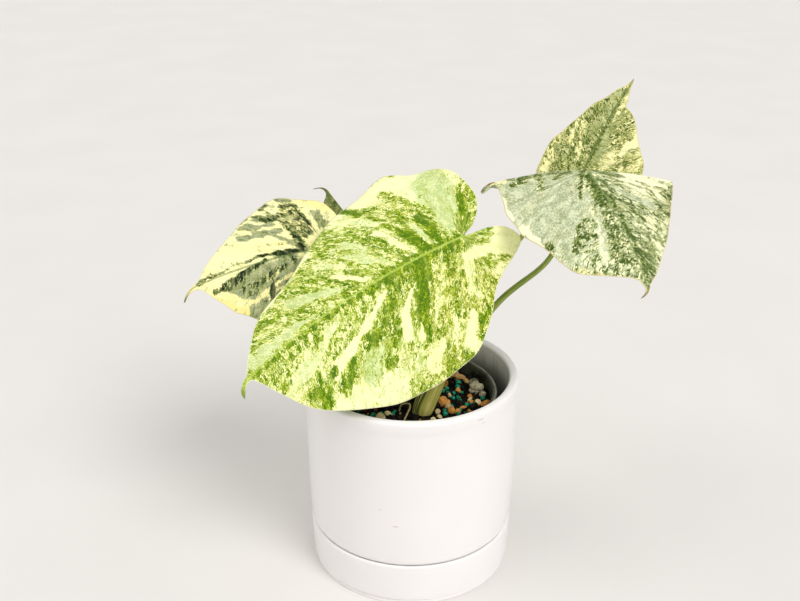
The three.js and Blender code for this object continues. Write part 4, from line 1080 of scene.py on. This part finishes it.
# Distance between the side veins, and half the width of a vein's hollow
LATERALS = dict(front=9.5, left=8, back=5, lower_right=8.5, upper_right=7.5)
VEIN_WIDTH, PROBE, COLUMN_SPACING = 0.75, 0.3, 1.12


def leaf_side(name, blade, side, seed):
    """The upper and lower face of one side of the rib: points by row and column, and what the shader reads."""
    leaf, spacing = blade.leaf, LATERALS[name]
    foot, end, share, across = vein_rows(blade, leaf["right" if side > 0 else "left"], *leaf["rows"])
    v = (np.linspace(0, 1, leaf["columns"] + 1) ** COLUMN_SPACING)[None, :]
    s = foot[:, None] + (end[:, :1] - foot[:, None]) * v**VEIN_BOW
    w = end[:, 1:] * v
    point = blade.points(s, w, side)
    step_s = blade.points(s + PROBE, w, side) - point
    step_w = blade.points(s, w + PROBE, side) - point
    rib_blend = smoothstep(0.0, 1.5, w)[..., None]
    normal = unit(np.cross(step_w, step_s)) * side
    normal = unit(blade.frames(s)[3] * (1 - rib_blend) + normal * rib_blend)

    ripple, waves = leaf["ripple"]
    wave = np.sin(share * waves * TAU + side)[:, None]
    lift = ripple * wave * v * v * np.minimum(1, end[:, 1:] / RIPPLE_REACH)
    run = np.hypot(s - foot[:, None], w)
    q = across[:, None] * np.ones_like(v)
    # The veins fan out in the lobes, so their distance grows with the run there
    gap = np.where(q < 0, run / LOBE_SPREAD, 1.0)
    phase = q / spacing + 0.25
    near = np.abs(phase - np.round(phase)) * spacing * gap
    fade = smoothstep(1.0, 0.75, v) * smoothstep(0.2, 2.0, w)
    vein = np.exp(-(near / VEIN_WIDTH) ** 2) * fade
    pillow = 0.16 * np.sin(np.pi * np.clip(near / (spacing * np.maximum(gap, 0.05)), 0, 0.5)) * fade
    lay = np.stack([q, run, 0 * q + 40 * side], -1)
    crinkle = 0.5 * (fbm(lay * np.array([0.16, 0.1, 1]), 3, seed) - 0.5) * smoothstep(0, 4, w)
    lift = lift + crinkle + pillow

    # The blade is thin at the margin and thick at the drip tip; a groove runs on the rib and a keel under it
    taper = smoothstep(1.02, 0.3, s / blade.total)
    groove = 0.45 * taper * np.exp(-(w / 0.9) ** 2)
    keel = (0.35 + 0.9 * taper) * np.exp(-(w / 1.25) ** 2)
    thickness = 0.55 - 0.22 * v + 0.6 * smoothstep(0.94, 1.0, s / blade.total)
    top = point + normal * (lift + thickness / 2 - groove - 0.14 * vein)[..., None]
    low = point + normal * (lift - thickness / 2 - keel - 0.18 * vein)[..., None]
    margin = (end[:, 1:] - w) + np.abs(end[:, :1] - s)
    relief = np.stack([vein, np.clip(s / blade.total, 0, 1), 0 * s], -1)
    fields = tissue(name, s, w * side, lay)
    for under, layer in enumerate((top, low)):
        yield layer, dict(lay=lay + np.array([0, 0, 7 * under]), tissue=fields,
                          edge=np.stack([margin, w, 0 * w + under], -1), relief=relief)


def leaf_piece(name, leaf, seed):
    """A leaf's blade as one closed mesh of four faces, joined at the margin and along the first rows."""
    blade = Blade(leaf)
    verts, faces, fields = [], [], []
    for side in (1, -1):
        for under, (layer, read) in enumerate(leaf_side(name, blade, side, seed)):
            offset = sum(len(part) for part in verts)
            verts.append(layer.reshape(-1, 3))
            fields.append({key: values.reshape(-1, 3) for key, values in read.items()})
            faces.append(grid_faces(*layer.shape[:2], offset, flip=(side > 0) == (under == 1)))
        rows, columns = layer.shape[:2]
        count = rows * columns
        margin = offset - count + np.arange(rows) * columns + columns - 1
        first_row = offset - count + np.arange(columns)
        for a, b in ((margin[:-1], margin[1:]), (first_row[1:], first_row[:-1])):
            strip = np.stack([a, a + count, b + count, b], -1)
            faces.append(strip if side > 0 else strip[:, ::-1])
    joined = {key: np.vstack([part[key] for part in fields]) for key in fields[0]}
    make_piece("leaf_" + name, np.vstack(verts), np.vstack(faces), leaf_shader(name, seed), "leaf_" + name,
               ["blade_" + name], **joined)


for number, (name, leaf) in enumerate(LEAVES.items()):
    leaf_piece(name, leaf, 3 + 11 * number)


# The far lobe of the lower right leaf is rolled into a short horn along this line of the blade
HORN_AT, HORN_FROM, HORN_TO, HORN_STEPS = -22.6, 39, 51.6, 40
lobe = Blade(LEAVES["lower_right"])
horn_path = lobe.points(np.full(HORN_STEPS, HORN_AT), np.linspace(HORN_FROM, HORN_TO, HORN_STEPS), 1)


def horn_radius(along, angle):
    roll = 1 + 0.12 * np.cos(angle - 2.4) - 0.3 * np.exp(-((angle + 0.35) / 0.25) ** 2)
    return (0.35 + 0.85 * smoothstep(0, 0.5, along)) * roll * np.sqrt(np.clip(1.03 - along**12, 0.03, 1))


def horn_shader():
    """Grey-green tissue with a brown seam where it is rolled, strongest next to the blade."""
    s = Shader("rolled_lobe", Specular_IOR_Level=0.25)
    place = s.attribute("lay")
    mark = s.noise(s.scaled(place, 2.2, 9, 1), 1.0, 4.0, 0.65)
    skin = s.ramp(mark, (0.36, (76, 88, 54)), (0.5, (134, 144, 112)), (0.64, (196, 192, 156)))
    angle, along = s.parts(place)[:2]
    seam = s.step(s.math("ABSOLUTE", s.math("ADD", angle, 0.35)), 0.8, 0.3)
    s.set("Base Color", s.mix(s.times(seam, s.step(along, 0.75, 0.5, 0.25, 0.95)), skin, (148, 96, 14)))
    s.set("Roughness", s.step(mark, 0.3, 0.7, 0.4, 0.55))
    s.bump(mark, 0.0003, 0.5)
    return s.material


tube_piece("rolled_lobe", horn_path, horn_radius, (0, 0, 1), 30, horn_shader(), "leaf_lower_right")


# ---- Stem and petioles

def stalk_shader(name, pale, green, dark, band, edge):
    """Fibrous skin with fine stripes along the stalk, darker towards a sheath's rim and pale on the rim."""
    s = Shader(name, IOR=1.42, Specular_IOR_Level=0.35)
    lay = s.attribute("lay")
    rim = s.parts(lay)[2]
    stripes = s.noise(s.scaled(lay, 9.0, 0.8, 0), 1.0, 4.0, 0.62)
    blotch = s.noise(s.scaled(lay, 1.3, 3.6, 0, (4, 2, 7)), 1.0, 3.0, 0.55)
    fleck = s.noise(s.scaled(lay, 16, 26, 0, (1, 8, 3)), 1.0, 2.0, 0.6)
    blend = s.times_plus(blotch, 0.35, s.times(stripes, 0.65))
    colour = s.ramp(blend, (0.34, dark), (0.48, green), (0.62, pale))
    colour = s.mix(s.step(fleck, 0.6, 0.72, 0, 0.4), colour, dark)
    colour = s.mix(s.step(rim, 0.12, 0.5, 0, 0.9), colour, band)
    s.set("Base Color", s.mix(s.step(rim, 0.8, 0.93), colour, edge))
    s.set("Roughness", s.step(stripes, 0.3, 0.7, 0.36, 0.5))
    s.bump(stripes, 0.00035, 0.5)
    s.bump(fleck, 0.0001, 0.4)
    return s.material


stem_material = stalk_shader("stem", (232, 222, 146), (200, 194, 96), (124, 128, 44), (60, 82, 24),
                             (220, 216, 156))
petiole_material = stalk_shader("petiole", (180, 196, 104), (140, 160, 62), (90, 116, 32), (90, 116, 32),
                                (190, 200, 130))
root_material = stalk_shader("root_skin", (210, 194, 146), (178, 158, 112), (126, 104, 70), (126, 104, 70),
                             (210, 194, 146))

stem_points = path_points([[5, -13, 66], [6, -12.5, 97], [12.4, -10, 115], [20.4, -7, 136]], 70)
FACING = (0.1, -1, 0)
STEM_FOOT, STEM_TOP = 5.2, 4.2


def stem_radius(along, angle):
    """The stem's body, which narrows at its top into the rolled youngest leaf."""
    body = STEM_FOOT + (STEM_TOP - STEM_FOOT) * along**1.4
    spear = 1 - 0.78 * smoothstep(0.82, 1.02, along)
    roll = 0.5 * smoothstep(0.78, 0.9, along) * np.exp(-((angle - 0.5 - 2 * (along - 0.9)) / 0.3) ** 2)
    return (body * (1 - 0.05 * np.cos(2 * angle)) + 0.14 * np.cos(7 * angle + 2 * along) - 0.25 - roll) * spear


tube_piece("stem_core", stem_points, stem_radius, FACING, 64, stem_material, "stem", ["stem"])


def sheath(name, first, last, opening, swell, thickness, point, foot=0.0):
    """An old leaf sheath wrapped round the stem. opening gives the free rims' angles in degrees at its foot
    and at its top; it spans shares first to last of the stem, and its rims end lower than its middle by point.
    foot is the share of its height that is tucked in to the stem."""
    rows, columns = 54, 44
    _, sides, thirds = carried_frames(stem_points, FACING)
    (left0, right0), (left1, right1) = opening
    rise = np.linspace(0, 1, rows)[:, None]
    across = np.linspace(0, 1, columns)[None, :]
    share = first + (last - point * np.abs(2 * across - 1) ** 1.5 - first) * rise
    index = np.arange(len(stem_points))
    centre, side, third = (
        np.stack([np.interp(share * (len(stem_points) - 1), index, a[:, k]) for k in range(3)], -1)
        for a in (stem_points, sides, thirds))
    start = np.radians(left0 + (left1 - left0) * rise)
    stop = np.radians(right0 + (right1 - right0) * rise)
    angle = start + (stop - start) * across
    wrapped = wrapped_angle(angle)
    core = stem_radius(np.minimum(share, 0.82), wrapped) + 0.25
    # The rims stand off the stem a little and the top flares
    near_rim = np.minimum(across, 1 - across) * np.degrees(stop - start) / 18
    uneven = 0.25 * fbm(np.stack([wrapped, share * 9, 0 * share], -1), 2, 8)
    lift = 0.3 * np.exp(-near_rim**2) + swell * rise**3 + uneven
    if foot:
        tuck = np.clip(1 - rise / foot, 0, 1)
        lift = lift - 3.2 * (1 - np.sqrt(1 - tuck**2 * 0.96)) + 0.7 * smoothstep(0, foot * 2, rise)
    # The edge thins out
    half = thickness * (0.25 + 0.75 * smoothstep(0, 0.7, near_rim) * smoothstep(1, 0.94, rise))
    layers = [centre + side * (out * np.cos(angle))[..., None] + third * (out * np.sin(angle))[..., None]
              for out in (core + half + lift, core + lift)]
    verts = np.vstack([layer.reshape(-1, 3) for layer in layers])
    count = rows * columns
    ring = [*range(columns), *(r * columns + columns - 1 for r in range(1, rows)),
            *(count - 1 - k for k in range(1, columns)), *(r * columns for r in range(rows - 2, 0, -1))]
    faces = [*grid_faces(rows, columns), *grid_faces(rows, columns, count, flip=True)]
    faces += [[a, a + count, b + count, b] for a, b in zip(ring, ring[1:] + ring[:1])]
    rim = np.maximum(np.exp(-near_rim * 1.2), smoothstep(0.9, 1.0, rise))
    lay = np.stack([wrapped + 3 * thickness, share, rim], -1).reshape(-1, 3)
    make_piece(name, verts, faces, stem_material, "stem", lay=np.vstack([lay, lay]))


sheath("sheath_belly", 0.4, 0.93, ((-56, 76), (-38, 58)), 0.5, 0.6, 0.16, foot=0.24)
sheath("sheath_outer", 0.36, 0.96, ((86, 296), (104, 278)), 1.2, 0.5, 0.2)

# How a petiole meets its blade, and how deep in the stem and how far from its axis it starts
SEAT, APPROACH, LEAN, HALF_BLADE = 0.6, 6, 1, 0.4
ROOTED, OFFSET = 11, 2.6
PETIOLE_FOOT, PETIOLE_TOP = 2.9, 1.35
SHOOT = np.array([10.0, -11, 110])


def petiole_radius(along, angle):
    """A petiole with a clasping foot, a channel on the shoot's side and a knee under the blade."""
    body = PETIOLE_TOP + (PETIOLE_FOOT - PETIOLE_TOP) * (1 - along) ** 2.2
    knee = 1 + 0.22 * np.exp(-((along - 0.95) / 0.03) ** 2)
    channel = 0.16 * np.exp(-((np.abs(angle) - 0.7) / 0.22) ** 2) - 0.2 * np.exp(-(angle / 0.4) ** 2)
    clasp = 0.25 + 0.75 * smoothstep(0, 0.09, along)
    return 0.9 * clasp * body * knee * (1 + channel * smoothstep(1.0, 0.7, along))


for name, leaf in LEAVES.items():
    point, ahead, across, up = (a[0] for a in Blade(leaf).frames(np.zeros(1)))
    top = point - up * (HALF_BLADE + SEAT * 0.2)
    under = point - up * (HALF_BLADE + SEAT + APPROACH) - ahead * LEAN
    first, second = (np.array(p, float) for p in leaf["petiole"][:2])
    axis = np.array([np.interp(first[2] - ROOTED, stem_points[:, 2], stem_points[:, k]) for k in range(3)])
    outward = unit((second - first) * [1, 1, 0])
    path = path_points([axis + outward * OFFSET, *leaf["petiole"], under, top], 120)
    tube_piece("petiole_stalk_" + name, path, petiole_radius, SHOOT - path[0] + [0, 0.1, 0], 28,
               petiole_material, "petiole", ["petiole_" + name], stretch=3)

root_points = path_points([[-7, -12, 97], [-5.5, -12, 102], [-1, -14, 103.6], [-1.5, -20, 103], [-4, -26, 100.5],
                           [-4.5, -27, 97]], 70)


def root_radius(along, angle):
    return 0.44 + 0.06 * np.sin(26 * along + angle) + 0.05 * np.sin(61 * along - 2 * angle)


tube_piece("aerial_root_curl", root_points, root_radius, (0, 1, 0), 14, root_material, "root",
           ["aerial_root"])
